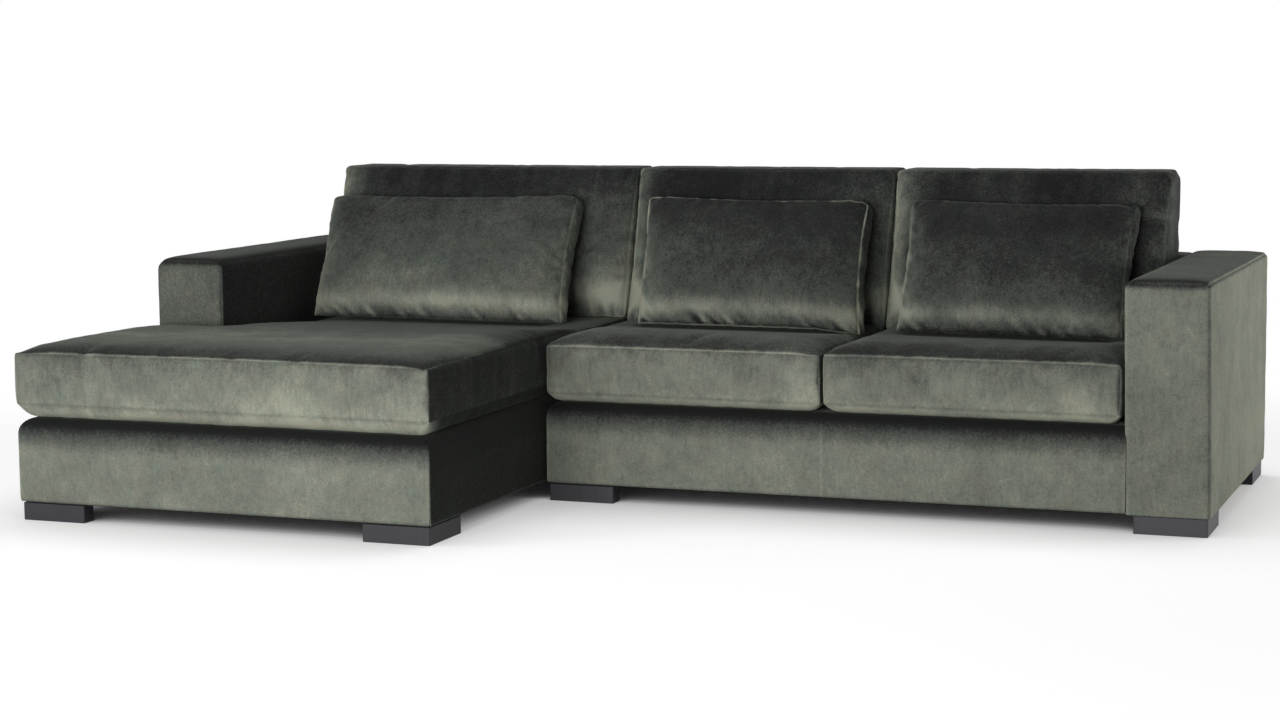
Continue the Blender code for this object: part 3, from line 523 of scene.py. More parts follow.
def makeCushion(name, spec, place, held, bend, limits):
    outline, notch, band = spec["outline"], spec.get("notch"), spec["band"]
    xLow, xHigh, yLow, yHigh = outline
    rows = boxedLook["seamRows"]
    xLines, yLines = planLines(outline, rows, notch, [0, rows[0], rows[1]])
    zLines = edgeLines(0, 1, [row / band for row in boxedLook["bandRows"]])
    zLines = sorted(zLines + [0.5 + step / band for step in zipLook["rows"]])
    cell = spec["cell"]
    pad = cutBlock(name, (xLines, yLines, zLines), (cell, cell, cell / band * 1.3), notch, velvet)
    block = readPoints(pad.data)
    sides = outlineSides(xLow, xHigh, yLow, yHigh, notch, spec["pulls"])
    plan, level, crown, edge, along = boxedShape(block, sides, notch, spec)
    roundPlan(plan, outline, spec["corners"])
    upward = (block[:, 1] - yLow) / (yHigh - yLow)
    crown *= 1 + spec["belly"] * (0.5 - upward)
    toCorner = np.minimum(block[:, 0] - xLow, xHigh - block[:, 0])
    toCorner += np.minimum(block[:, 1] - yLow, yHigh - block[:, 1])
    onTop, onFoot = level > 1 - onIt, level < onIt
    face = onTop.astype(float) * spec["crowns"][1] - onFoot * spec["crowns"][0]
    droop = spec["droop"] * bell(toCorner, 0.045) * level
    writePoints(pad.data, place(plan[:, 0], plan[:, 1], level, crown * face - droop))
    onPanel = onFoot | onTop
    seamAway = np.where(onPanel, edge, np.minimum(level, 1 - level) * band)
    share = held(plan, level, seamAway)
    puff(pad, share, spec["puff"])
    # gathers at the seams, then the seam itself pulled tight
    normals = readNormals(pad.data)
    points = readPoints(pad.data)
    seed = spec["seed"]
    size = spec["creaseMm"] / 1000
    near = np.minimum(seamAway, 0.3)
    slant = along + spec.get("slant", 0.0) * near
    keys = np.stack([slant / size, near / 0.16 + level * 3, np.zeros(len(along))], axis=1)
    gather = np.array([noise.noise(Vector(key) + Vector((seed * 3.7, 0, seed))) for key in keys])
    side = np.clip(np.round(along / 10), 0, 5).astype(int)
    fan = np.exp(-seamAway / spec["creaseReach"]) * (1 - np.exp(-seamAway / 0.006))
    fan *= np.array([*spec["creases"], 0.4, 0.4])[side]
    fan *= 0.35 + 1.3 * ramp01(0.5 + 1.4 * cloud(points, spec.get("clusterMm", 400) / 1000, seed + 3))
    slow = cloud(points, spec["lumpMm"] / 1000, seed) * spec["lumpDepth"] * ramp01(seamAway / 0.06)
    tight = np.where(level < 0.5, spec.get("lowSeam", 1.0), 1.0)
    if "softRight" in spec:
        tight = np.where((level > 0.5) & (np.round(along / 10) == 1), spec["softRight"], tight)
    pinch = -boxedLook["seamDepth"] * bell(seamAway, 0.004) * tight
    roll = boxedLook["seamRoll"] * bell(seamAway - 0.011, 0.007) * tight
    free = np.where(share > 0.99, 0.0, 1.0)
    zipAt = yHigh if spec["zip"] == "rear" else yLow
    zipMiddle = ((notch[0] if notch else xLow) + xHigh) / 2
    beyond = np.maximum(np.abs(block[:, 0] - zipMiddle) - zipLook["long"] / 2, 0)
    gap = np.hypot((level - 0.5) * band, beyond) / 0.0125
    inZip = (np.abs(block[:, 1] - zipAt) < onIt) * np.exp(-(gap**4))
    upright = np.where(onPanel, farAway, np.minimum(toCorner, farAway))
    pinch -= boxedLook["cornerDepth"] * bell(upright, 0.004) * spec["cornerSeam"]
    lift = (gather * fan * spec["creaseDepth"] + slow) * free + pinch + roll - inZip * zipLook["deep"]
    points = bend(points + normals * lift[:, None], block)
    writePoints(pad.data, keepWithin(points, limits))
    values = {
        "seamAway": seamAway, "upward": upward, "upright": upright, "fold": gather * fan,
        "across": (block[:, 0] - xLow) / (xHigh - xLow), "level": level,
    }
    for key, value in values.items():
        writeValues(pad.data, key, value)
    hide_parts(name + "_cover", name + "_filling")
    return pad


def paintToneAndShade(piece, tones):
    # the tone of the pile with painted light and shade: each face lighter or darker by the way it looks, with a thin
    # painted highlight or shade line at each seam
    mesh = piece.data
    normals = readNormals(mesh)
    weights = normals**2
    # painted shade: a face is lighter or darker by the way it faces the lamps
    front = np.where(normals[:, 1] < 0, tones["front"], tones["rear"])
    side = np.where(normals[:, 0] > 0, tones["right"], tones["left"])
    top = np.where(normals[:, 2] > 0, tones["top"], tones["under"])
    value = weights[:, 0] * side + weights[:, 1] * front + weights[:, 2] * top + paintedLightByPiece.get(piece.name, 0)
    if "seamShadeAndHighlight" in mesh.attributes:
        value += readValues(mesh, "seamShadeAndHighlight")
    elif "level" in mesh.attributes:
        seam = tones["seam"] + paintedSeamHighlightByPiece.get(piece.name, 0)
        seam = np.where(readValues(mesh, "level") > 0.5, seam, tones["lowSeam"])
        value += seam * bell(readValues(mesh, "seamAway"), 0.0028)
        value += tones["cornerSeam"] * bell(readValues(mesh, "upright"), 0.0035)
        # painted shade and highlight along the folds
        value += tones["fold"] * readValues(mesh, "fold")
    if "extra" in tones:
        value += tones["extra"](readPoints(mesh), normals, mesh)
    writeValues(mesh, "pile", value)
    writeValues(mesh, "rub", np.full(len(mesh.vertices), tones["rub"]))


def leaningPlace(footRear, footFront, headRear, headFront, length):
    # stands on its foot: the points hold (distance in front of the backrest, height)
    corners = [np.array(p) for p in (footRear, footFront, headRear, headFront)]

    def place(a, b, level, extra):
        share = (b / length)[:, None]
        rear = corners[0] * (1 - share) + corners[2] * share
        through = corners[1] * (1 - share) + corners[3] * share - rear
        unit = through / np.linalg.norm(through, axis=1)[:, None]
        spot = rear + through * level[:, None] + unit * extra[:, None]
        return np.stack([a, planes["rest"] - spot[:, 0], spot[:, 1]], axis=1)

    return place


# what each kind of cushion is like; pulls and creases go round from the front or foot over the right side
cushionLooks = {
    "seat": {
        "reach": 0.115, "lowReach": 0.045, "lowSeam": 0.15, "swell": 0.008, "drawIn": 0.008, "belly": 0.0,
        "droop": 0.002, "cornerSeam": 1.0, "creaseMm": 45, "creases": (0.5, 0.8, 0, 0.8), "creaseReach": 0.05,
        "creaseDepth": 0.003, "lumpMm": 260, "lumpDepth": 0.0022,
        "puff": {"pressure": 2.2, "stiff": 18.0, "bend": 1.2, "slack": 0.012, "frames": 14}, "fill": 0.8,
        "zip": "rear",
    },
    "back": {
        "band": 0.155, "cell": 0.012, "reach": 0.16, "swell": 0.006, "drawIn": 0.006,
        "corners": (0.014, 0.014, 0.030, 0.022), "belly": 0.5, "droop": 0.0, "cornerSeam": 0.4,
        "creaseMm": 30, "creases": (1, 0.5, 0.35, 0.25), "creaseReach": 0.07, "creaseDepth": 0.006,
        "pulls": ((0, 0), (1, 1), (0, 0.4), (1, 1)), "crowns": (0.0, 0.028), "lumpMm": 170,
        "lumpDepth": 0.005,
        "puff": {"pressure": 2.6, "stiff": 12.0, "bend": 0.6, "slack": 0.02, "frames": 16, "cap": 0.016},
        "fill": 0.65, "zip": "foot",
    },
    "lumbar": {
        "band": 0.070, "cell": 0.010, "reach": 0.15, "swell": 0.004, "drawIn": 0.012,
        "corners": (0.006, 0.006, 0.024, 0.018), "belly": 0.9, "droop": 0.012, "cornerSeam": 0.4,
        "creaseMm": 24, "slant": 0.9, "clusterMm": 90, "creases": (1.3, 0.5, 0.3, 0.6), "creaseReach": 0.016,
        "creaseDepth": 0.007, "pulls": ((0, 0), (1, 1), (0.7, 1), (1, 1)), "crowns": (0.012, 0.055),
        "lumpMm": 120, "lumpDepth": 0.005,
        "puff": {"pressure": 2.6, "stiff": 10.0, "bend": 0.4, "slack": 0.03, "frames": 16, "cap": 0.018},
        "fill": 0.6, "zip": "foot",
    },
}

zCushion = planes["deck"] + planes["fit"]
seatFront, seatRear = -0.1605, 0.7225
sofaSeat = {
    "lip": 0.025, "band": 0.128, "crown": 0.020, "pressed": 0.014, "standoff": 0.485, "cell": 0.0135,
    "cap": 0.008,
}
seats = {
    "chaise_seat_cushion": {
        "outline": (planes["left"], planes["join"] - planes["slide"], planes["chaiseFront"] - 0.005, seatRear),
        "notch": (planes["leftArm"] + planes["slide"], planes["front"] - planes["slide"]), "lip": 0.038,
        "band": 0.134, "crown": 0.013, "pressed": -0.008, "standoff": 0.510, "cell": 0.0165, "cap": 0.007,
        "pulls": ((1, 1), (1, 1), (0, 0), (-0.3, 1.6)), "corners": (0.009, 0.005, 0.01, 0.01), "seed": 1,
        "reach": 0.16, "softRight": 0.1,
    },
    "left_seat_cushion": {
        **sofaSeat,
        "outline": (planes["join"] + planes["slide"], planes["split"] - planes["slide"], seatFront, seatRear),
        "pulls": ((1, 1), (0.6, 0.6), (0, 0), (0.6, 0.6)), "corners": (0.026, 0.012, 0.01, 0.01), "seed": 2,
    },
    "right_seat_cushion": {
        **sofaSeat,
        "outline": (planes["split"] + planes["slide"], planes["rightArm"] - 0.013, seatFront, seatRear),
        "pulls": ((1, 1), (1, 1), (0, 0), (1, 1)), "corners": (0.018, 0.014, 0.01, 0.01), "seed": 3,
    },
}
lumbars = {
    "chaise": {
        "standoff": 0.510, "lean": 33.0, "long": 0.414, "span": (-1.202, -0.408), "skew": -0.037,
        "tilt": 0.008, "lift": 0.004, "turn": 0.02, "sink": 0.0,
    },
    "left": {
        "standoff": 0.488, "lean": 30.5, "long": 0.401, "span": (-0.200, 0.453), "skew": -0.034,
        "tilt": -0.006, "lift": 0.004, "turn": 0.02, "sink": 0.012,
    },
    "right": {
        "standoff": 0.488, "lean": 30.2, "long": 0.400, "span": (0.556, 1.174), "skew": -0.002,
        "tilt": -0.008, "lift": 0.003, "turn": 0.035, "sink": 0.003, "corners": (0.006, 0.006, 0.012, 0.020),
    },
}


def footLine(lumbar, points):
    # how far back the front foot of a lumbar cushion stands, at the place across of each point
    low, high = lumbar["span"]
    aside = np.clip((points[:, 0] - (low + high) / 2) / (high - low), -0.5, 0.5)
    return planes["rest"] - lumbar["standoff"] - lumbar["turn"] * aside


def makeSeat(name, seat):
    zSeam = zCushion + seat["lip"]
    zFlat = zSeam + seat["band"] + seat["pressed"]
    yLine = planes["rest"] - seat["standoff"] - 0.060
    low, high, _, rear = seat["outline"]
    lumbar = lumbars[name.split("_")[0]]

    def place(a, b, level, extra):
        return np.stack([a, b, zSeam + level * seat["band"] + extra], axis=1)

    def held(plan, level, seamAway):
        # the underside lies on the deck, and the seams give only a little
        under = (level < onIt) & (seamAway > 0.035)
        pressed = (level > 1 - onIt) & (plan[:, 1] > yLine + 0.02)
        value = np.where(seamAway < 0.004, 0.75, 0.0)
        return np.where(under | pressed, 1.0, value)

    def bend(points, block):
        # the crown is pressed flat where the other cushions lie, over a ramp of 350 mm
        share = ramp01((block[:, 1] - (yLine - 0.35)) / 0.35)
        top = block[:, 2] > 0.999
        ceiling = zFlat + (1 - share) * 0.03
        points[:, 2] = np.where(top, np.minimum(points[:, 2], ceiling), points[:, 2])
        # a shallow hollow under the front foot of the lumbar cushion
        left, right = lumbar["span"]
        inside = ramp01((points[:, 0] - left) / 0.04) * ramp01((right - points[:, 0]) / 0.04)
        behind = points[:, 1] - footLine(lumbar, points)
        points[:, 2] -= 0.006 * top * inside * bell(behind, 0.028)
        if "notch" in seat:
            # it sinks along the arm, and its upper right edge is rounded
            aside = np.maximum(block[:, 0] - seat["notch"][0], 0)
            ahead = np.maximum(seat["notch"][1] - block[:, 1], 0)
            sag = 0.014 * bell(np.hypot(aside, ahead), 0.12)
            sag += 0.020 * ramp01((block[:, 1] + 0.16) / 0.4) * bell(aside, 0.06)
            points[:, 2] -= sag * block[:, 2]
            roundEdge(points, (0, 1, high - 0.004), (2, 1, zSeam + seat["band"] + 0.002), 0.022)
        points[:, 2] = np.maximum(points[:, 2], zCushion)
        return points

    limits = [(1, 1, rear)]
    if name != "chaise_seat_cushion":
        limits.append((0, -1, low))
    if name != "right_seat_cushion":
        limits.append((0, 1, high))
    spec = {**cushionLooks["seat"], **seat, "crowns": (seat["lip"], seat["crown"])}
    spec["puff"] = {**spec["puff"], "cap": seat["cap"]}
    return makeCushion(name, spec, place, held, bend, limits)


def makeBackCushion(name, xLow, xHigh, zSeat, seed, sink):
    zHead = planes["backrest"] + planes["headroom"]
    slide = planes["slide"]
    length = zHead - zSeat
    place = leaningPlace((slide, zSeat), (0.280, zSeat), (slide, zHead), (0.155, zHead), length)

    def held(plan, level, seamAway):
        value = np.where(seamAway < 0.004, 0.5, 0.0)
        return np.where((level < onIt) & (plan[:, 1] < 0.2), 1.0, value)

    def bend(points, block):
        # its lower corners follow the seat down at both sides
        aside = np.minimum(block[:, 0] - xLow, xHigh - block[:, 0])
        points[:, 2] -= sink * bell(aside, 0.05) * np.exp(-block[:, 1] / 0.06)
        return points

    limits = [(1, 1, planes["rest"] - 0.0005), (2, -1, zSeat - sink), (2, 1, zHead + 0.001)]
    limits += [(0, -1, xLow + 0.001), (0, 1, xHigh - 0.001)]
    spec = {**cushionLooks["back"], "outline": (xLow + slide, xHigh - slide, 0.0, length), "seed": seed}
    return makeCushion(name, spec, place, held, bend, limits)


def makeLumbar(name, lumbar, zSeat, seed):
    lean = math.radians(lumbar["lean"])
    long, band = lumbar["long"], cushionLooks["lumbar"]["band"]
    foot = (lumbar["standoff"], zSeat + lumbar["lift"])
    headFront = (foot[0] - long * math.sin(lean), foot[1] + long * math.cos(lean))
    headRear = (headFront[0] - band * math.cos(lean), headFront[1] - band * math.sin(lean))
    place = leaningPlace((lumbar["standoff"] - 0.060, zSeat), foot, headRear, headFront, long)
    xLow, xHigh = lumbar["span"]
    middle = (xLow + xHigh) / 2

    def held(plan, level, seamAway):
        value = np.where(seamAway < 0.004, 0.5, 0.0)
        return np.where((seamAway > 0.004) & (plan[:, 1] < onIt), 1.0, value)

    def bend(points, block):
        # it has slipped a little askew, and its right foot follows the edge of the seat
        share = block[:, 1] / long - 0.5
        aside = (block[:, 0] - middle) / (xHigh - xLow)
        points[:, 0] += lumbar["skew"] * share
        points[:, 1] -= lumbar["turn"] * aside * (0.5 - share)
        points[:, 2] += lumbar["tilt"] * aside * (0.5 + share)
        points[:, 2] -= lumbar["sink"] * ramp01((aside - 0.3) / 0.2) * (0.5 - share)
        return points

    limits = [(2, -1, zSeat + 0.001 - lumbar["sink"])]
    spec = {**cushionLooks["lumbar"], **lumbar, "outline": (xLow, xHigh, 0.0, long), "seed": seed}
    return makeCushion(name, spec, place, held, bend, limits)


zSeats = {"chaise": 0.4296, "left": 0.4326, "right": 0.4326}
cushions = {}
for name, seat in seats.items():
    cushions[name] = makeSeat(name, seat)
    print(name, "made")
columns = {
    "chaise": (planes["leftArm"] + 0.013, planes["join"]), "left": (planes["join"], planes["split"]),
    "right": (planes["split"], planes["rightArm"] - 0.013),
}
for seed, (side, (low, high)) in enumerate(columns.items()):
    name = side + "_back_cushion"
    sink = 0.0 if side == "chaise" else 0.016
    cushions[name] = makeBackCushion(name, low, high, zSeats[side], seed + 11, sink)
    print(name, "made")
for seed, (side, lumbar) in enumerate(lumbars.items()):
    name = side + "_lumbar_cushion"
    cushions[name] = makeLumbar(name, lumbar, zSeats[side], seed + 21)
    print(name, "made")


def perPlace(points, values):
    # a value for the chaise, the middle and the right place, by where the cushion is
    return np.interp(points[:, 0].mean(), [-0.6, 0.1, 0.8], values)


def seatShade(points, normals, mesh):
    # painted light and shade on a seat: the top is painted dark just behind the front seam, then a paler painted
    # lane, with strokes; the band is painted paler downwards
    level = readValues(mesh, "level")
    behind = points[:, 1] - points[:, 1].min()
    chaise = np.where(points[:, 1].min() < -0.5, 1.0, 0.2)
    wavy = 1 + 0.5 * cloud(points, 0.09, 3)
    lane = 0.36 * chaise * bell(behind - 0.33, 0.17)
    strokes = 0.14 * cloud(points * [1.0, 2.2, 1.0], 0.2, 4) + 0.08 * cloud(points, 0.06, 8)
    far = 0.02 + 0.02 * chaise + 0.26 * chaise * ramp01((behind - 0.5) / 0.15)
    own = perPlace(points, [0, 0.05, -0.05])
    shade = (lane + strokes + own - far - 0.20 * np.exp(-behind / 0.05) * wavy) * (level > 0.98)
    # a painted shadow where the lumbar cushion stands on the seat, and behind it
    lumbar = min(lumbars.values(), key=lambda other: abs(sum(other["span"]) / 2 - points[:, 0].mean()))
    shade -= 0.34 * ramp01((points[:, 1] - footLine(lumbar, points) + 0.045) / 0.035) * (level > 0.98)
    across = readValues(mesh, "across")
    band = 0.06 - 0.20 * level + 0.09 * across + 0.10 * cloud(points, 0.11, 9)
    # painted shade at the right end of the lip, a painted pale patch on its right face at the front corner, and
    # painted shade on the top seam where it faces right
    band -= 0.75 * (level < 0.02) * ramp01((across - 0.92) / 0.05) * (1 - bell(behind, 0.10))
    seam = bell(readValues(mesh, "seamAway"), 0.0028) * (level > 0.5)
    corner = (level < 0.02) * bell(behind, 0.09)
    return shade + (level < 0.98) * band + ramp01(normals[:, 0] * 1.5) * (0.6 * corner - 0.5 * seam)


def backShade(points, normals, mesh):
    # painted light and shade on a back cushion: darker above, a painted pale belly at the foot, a painted pale rim
    # along the left edge, and painted light towards the right
    upward = readValues(mesh, "upward")
    across = readValues(mesh, "across")
    belly = 0.52 * bell(upward - 0.16, 0.10) * (1 + 0.4 * cloud(points, 0.13, 5))
    rim = 0.45 * bell(across, 0.085) * (1 + 0.2 * cloud(points, 0.06, 6))
    glow = perPlace(points, [0.35, 0.24, 0.04]) * ramp01((across - 0.62) / 0.25) * ramp01((0.98 - upward) / 0.25)
    lighter = perPlace(points, [0.0, -0.04, 0.025])
    return (belly + rim + glow + lighter) * (normals[:, 1] < 0) + 0.05 * (0.6 - upward)


def lumbarShade(points, normals, mesh):
    # painted light and shade on a lumbar cushion: a painted pale belly low down, a painted contact shadow where it
    # stands on the seat, darker towards the top
    upward = readValues(mesh, "upward")
    belly = bell(upward - 0.125, 0.075) * (1 + 0.3 * cloud(points, 0.13, 7))
    belly *= perPlace(points, [0.36, 0.44, 0.35])
    belly += 0.09 * bell(upward - 0.27, 0.14)
    # a painted contact shadow along the foot, where it stands on the seat
    pressed = -0.20 * bell(upward, 0.024)
    rim = 0.3 * np.exp(-readValues(mesh, "across") / 0.03)
    return belly + pressed + rim - perPlace(points, [0.18, 0.26, 0.20]) * ramp01((upward - 0.55) / 0.45)


# painted light and shade: tones by the way a face looks; seam, lowSeam and cornerSeam paint a highlight or shade
# line along the seams, fold paints shade on the creases
coverTones = {
    "seat": {
        "front": 0.74, "rear": 0.6, "left": 0.74, "right": 0.12, "top": 0.34, "under": 0.95, "seam": 0.5,
        "lowSeam": -0.14, "cornerSeam": 0.25, "fold": 0.12, "rub": 0.9, "extra": seatShade,
    },
    "back": {
        "front": 0.12, "rear": 0.5, "left": 0.75, "right": 0.3, "top": 0.12, "under": 0.4, "seam": 0.18,
        "lowSeam": 0.2, "cornerSeam": 0.1, "fold": 0.5, "rub": 1.0, "extra": backShade,
    },
    "lumbar": {
        "front": 0.28, "rear": 0.4, "left": 0.62, "right": 0.42, "top": 0.22, "under": 0.4, "seam": 0.2,
        "lowSeam": 0.2, "cornerSeam": 0.1, "fold": 0.9, "rub": 0.9, "extra": lumbarShade,
    },
}
# painted light: some pieces are painted lighter all over, and the left lumbar cushion's seams get a stronger painted
# highlight
paintedLightByPiece = {"chaise_lumbar_cushion": 0.20, "left_lumbar_cushion": 0.06, "left_seat_cushion": 0.02}
paintedSeamHighlightByPiece = {"left_lumbar_cushion": 0.8}

for name, pad in cushions.items():
    kind = name.split("_")[1]
    refine(pad)
    if kind == "back":
        clearOf(pad, [cushions[name.replace(kind, "seat")]], 0.0006)
    if kind == "lumbar":
        clearOf(pad, [cushions[name.replace(kind, other)] for other in ("back", "seat")], 0.001)
    paintToneAndShade(pad, coverTones[kind])
    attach(pad, name)
print("cushions made")


# zips: a tape on the cover, two rows of teeth, a slider and its tab


def makeZip(name, pad, line, outward):
    tree = surfaceOf(pad.data)
    start, end = (Vector(point) for point in line)
    run = (end - start).normalized()
    out = Vector(outward)
    across = run.cross(out)
    long = (end - start).length
    bm = bmesh.new()

    def settle(along, aside, lift):
        # the spot on the cover under a place of the zip, lifted off it
        spot = start + run * along + across * aside + out * 0.03
        found = tree.ray_cast(spot, -out, 0.08)[0]
        return (found or spot - out * 0.03) + out * lift

    def addBox(centre, *sizes):
        # a small box that lies along the zip
        for vert in bmesh.ops.create_cube(bm, size=1)["verts"]:
            local = vert.co.copy()
            parts = [axis * (c * size) for axis, c, size in zip((run, across, out), local, sizes)]
            vert.co = centre + sum(parts, Vector())

    steps, offsets = zipLook["steps"], zipLook["offsets"]
    layers = []
    for lift, turned in ((0.0002, -1), (0.0007, 1)):
        grid = [[bm.verts.new(settle(long * i / steps, aside, lift)) for aside in offsets] for i in range(steps + 1)]
        layers.append(grid)
        for low, high in zip(grid, grid[1:]):
            for i in range(len(offsets) - 1):
                bm.faces.new((low[i], low[i + 1], high[i + 1], high[i])[::turned])
    rims = []
    for grid in layers:
        rims.append(grid[0] + [row[-1] for row in grid[1:]] + grid[-1][-2::-1] + [row[0] for row in grid[-2:0:-1]])
    for i in range(len(rims[0])):
        j = (i + 1) % len(rims[0])
        bm.faces.new((rims[0][i], rims[0][j], rims[1][j], rims[1][i]))
    tapeFaces = len(bm.faces)
    for tooth in range(int(long / zipLook["pitch"])):
        aside = 0.0011 if tooth % 2 else -0.0011
        addBox(settle(zipLook["pitch"] * (tooth + 0.5), aside, 0.0012), *zipLook["tooth"])
    for face in bm.faces[tapeFaces:]:
        face.material_index = 1
    tape = toObject(bm, name + "_zip", zipTape)
    tape.data.materials.append(zipCoil)
    tape.data.shade_flat()
    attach(tape, name)
    bm = bmesh.new()
    at = settle(long - 0.012, 0, 0.0022)
    addBox(at, 0.010, 0.0075, 0.0022)
    addBox(at - run * 0.002 + out * 0.0013, 0.004, 0.002, 0.0010)
    addBox(at - run * 0.012 + out * 0.0006, 0.018, 0.0048, 0.0009)
    bmesh.ops.bevel(bm, geom=bm.edges[:], offset=0.0003, segments=2, affect="EDGES")
    slider = toObject(bm, name + "_zip_slider", zincPlate)
    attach(slider, name)


for name, pad in cushions.items():
    side, kind = name.split("_")[:2]
    half = zipLook["long"] / 2 - 0.006
    if kind == "seat":
        seat = seats[name]
        low, high, _, rear = seat["outline"]
        low = seat["notch"][0] if "notch" in seat else low
        place, outward = (rear, zCushion + seat["lip"] + seat["band"] / 2), (0, 1, 0)
        middle = (low + high) / 2
    elif kind == "back":
        place, outward = (planes["rest"] - 0.142, zSeats[side]), (0, 0, -1)
        middle = sum(columns[side]) / 2
    else:
        lumbar = lumbars[side]
        place, outward = (planes["rest"] - lumbar["standoff"] + 0.03, zSeats[side]), (0, 0, -1)
        middle = sum(lumbar["span"]) / 2 - lumbar["skew"] / 2
        half -= 0.03
    makeZip(name, pad, [(middle - half, *place), (middle + half, *place)], outward)
print("zips made")


# covers of the frames


def finishCover(piece, seamShadeAndHighlight, tones, node):
    writeValues(piece.data, "seamShadeAndHighlight", seamShadeAndHighlight)
    refine(piece)
    paintToneAndShade(piece, tones)
    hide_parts(node)
    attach(piece, "frames")


def makeBlockCover(name, low, high, spec):
    # a padded, seamed cover over a box: faces pillow a little and edges are rounded
    lines = [edgeLines(low[axis], high[axis], [0.004, 0.009, 0.015, 0.022, 0.030]) for axis in range(3)]
    lines[2] = sorted(set(lines[2] + spec.get("zLines", [])))
    piece = cutBlock(name, lines, [spec["cell"]] * 3, None, velvet)
    block = readPoints(piece.data)
    points = block.copy()
    away = np.stack([np.minimum(block[:, a] - low[a], high[a] - block[:, a]) for a in range(3)], axis=1)
    waves = cloud(block, 0.17, spec["seed"])
    for axis in range(3):
        others = [a for a in range(3) if a != axis]
        on = away[:, axis] < onIt
        share = rise(away[:, others[0]] / 0.07) * rise(away[:, others[1]] / 0.07)
        way = np.where(block[:, axis] > (low[axis] + high[axis]) / 2, 1.0, -1.0)
        if axis == 2:
            on &= way > 0
        height = spec["crown"] if axis == 2 else 0.003
        points[:, axis] += on * way * share * (height + spec["wobble"] * waves)
    # the sides by name, each as (axis, way, place)
    sides = {"left": (0, -1, low[0]), "right": (0, 1, high[0]), "front": (1, -1, low[1]), "rear": (1, 1, high[1])}
    sides["top"] = (2, 1, high[2])
    for first, second, radius in spec["rounds"]:
        roundEdge(points, sides[first], sides[second], radius)
    # a painted shade or highlight line along each seam
    seamAway = np.full(len(points), 1.0)
    seamShadeAndHighlight = np.zeros(len(points))
    for first, second, tone in spec["seams"]:
        gap = np.hypot(*(block[:, sides[side][0]] - sides[side][2] for side in (first, second)))
        seamAway = np.minimum(seamAway, gap)
        seamShadeAndHighlight += tone * bell(gap, 0.005)
    writePoints(piece.data, points)
    normals = readNormals(piece.data)
    ripple = cloud(block, 0.03, spec["seed"] + 5) * np.exp(-seamAway / 0.03)
    depth = -0.0026 * bell(seamAway, 0.0035) + 0.0012 * bell(seamAway - 0.010, 0.006)
    points = spec["shape"](points + normals * (depth + ripple * 0.0012)[:, None], block)
    points[:, 2] = np.maximum(points[:, 2], low[2])
    writePoints(piece.data, points)
    finishCover(piece, seamShadeAndHighlight, spec["tones"], spec["node"])


def armShade(points, normals, mesh):
    # painted shade on the top just behind the front seam, and mottled tone further back
    behind = points[:, 1] - planes["front"]
    shade = 0.16 * cloud(points, 0.13, 12) - 0.28 * np.exp(-behind / 0.05)
    return shade * ramp01(normals[:, 2] * 2)


def makeArm(side, xLow, xHigh):
    outer, inner = ("left", "right") if side == "left" else ("right", "left")

    def shape(points, block):
        # the right arm leans towards the seat a little at its front
        if side == "right":
            share = ramp01((points[:, 2] - 0.05) / 0.57) * np.exp(-(points[:, 1] - planes["front"]) / 0.6)
            points[:, 0] -= 0.010 * share
        return points

    # painted light and shade by the way each face looks; the left arm's inner side is painted dark
    tones = {"front": 0.74, "rear": 0.6, "left": 0.7, "right": 0.92, "top": 0.28, "under": 0.4, "rub": 0.75}
    if side == "left":
        tones.update({"right": 0.12, "front": 0.58, "top": 0.10, "rub": 0.55})
    rounds = [(outer, "top", 0.028 if side == "left" else 0.008), (inner, "top", 0.020)]
    rounds += [("front", "top", 0.018), ("rear", "top", 0.014), ("front", outer, 0.010)]
    rounds += [("front", inner, 0.004), ("rear", outer, 0.010), ("rear", inner, 0.010)]
    # each seam with its tone: a painted shade or highlight line along it
    seams = [("front", outer, -0.22), ("front", inner, 0.2), ("rear", outer, -0.1), ("rear", inner, -0.1)]
    seams += [("rear", "top", -0.1), (outer, "top", 0.15)]
    spec = {
        "cell": 0.016, "seed": 31 if side == "left" else 32, "crown": 0.009, "wobble": 0.0014, "rounds": rounds,
        "seams": seams, "tones": {**tones, "extra": armShade}, "node": side + "_arm_cover", "shape": shape,
    }
    low = (xLow, planes["front"], planes["under"])
    makeBlockCover(side + "_arm", low, (xHigh, planes["back"], planes["arm"]), spec)


def makeBackrest(side, xLow, xHigh):
    def shape(points, block):
        # below the deck it starts behind the rear rail
        low = block[:, 2] < planes["deck"] + 0.0005
        recess = planes["rest"] + planes["recess"] + planes["fit"]
        points[:, 1] = np.where(low, np.maximum(points[:, 1], recess), points[:, 1])
        return keepWithin(points, [(0, -1, xLow + 0.0002), (0, 1, xHigh - 0.0002)])

    rounds = [("front", "top", 0.018), ("rear", "top", 0.016), ("rear", "left", 0.008), ("rear", "right", 0.008)]
    spec = {
        "zLines": [planes["deck"], planes["deck"] + 0.004],
        "cell": 0.018, "seed": 33 if side == "chaise" else 34, "crown": 0.004, "wobble": 0.0018,
        # painted shade along the rear seams, and painted light and shade by the way each face looks
        "rounds": rounds, "seams": [("rear", other, -0.1) for other in ("top", "left", "right")],
        "tones": {"front": 0.3, "rear": 0.62, "left": 0.5, "right": 0.4, "top": 0.4, "under": 0.4, "rub": 0.6},
        "node": side + "_back_cover", "shape": shape,
    }
    low = (xLow, planes["rest"], planes["under"])
    makeBlockCover(side + "_backrest", low, (xHigh, planes["back"], planes["backrest"]), spec)


fit = planes["fit"]
makeArm("left", planes["left"], planes["leftArm"])
makeArm("right", planes["rightArm"], planes["right"])
makeBackrest("chaise", planes["leftArm"] + fit, planes["chaise"])
makeBackrest("sofa", planes["sofa"], planes["rightArm"] - fit)
print("arms and backrests made")

rollLook = {"radius": 0.038, "flat": 0.006, "panel": 0.010, "pad": 0.034, "rows": 9, "steps": 8, "dent": 0.0012}


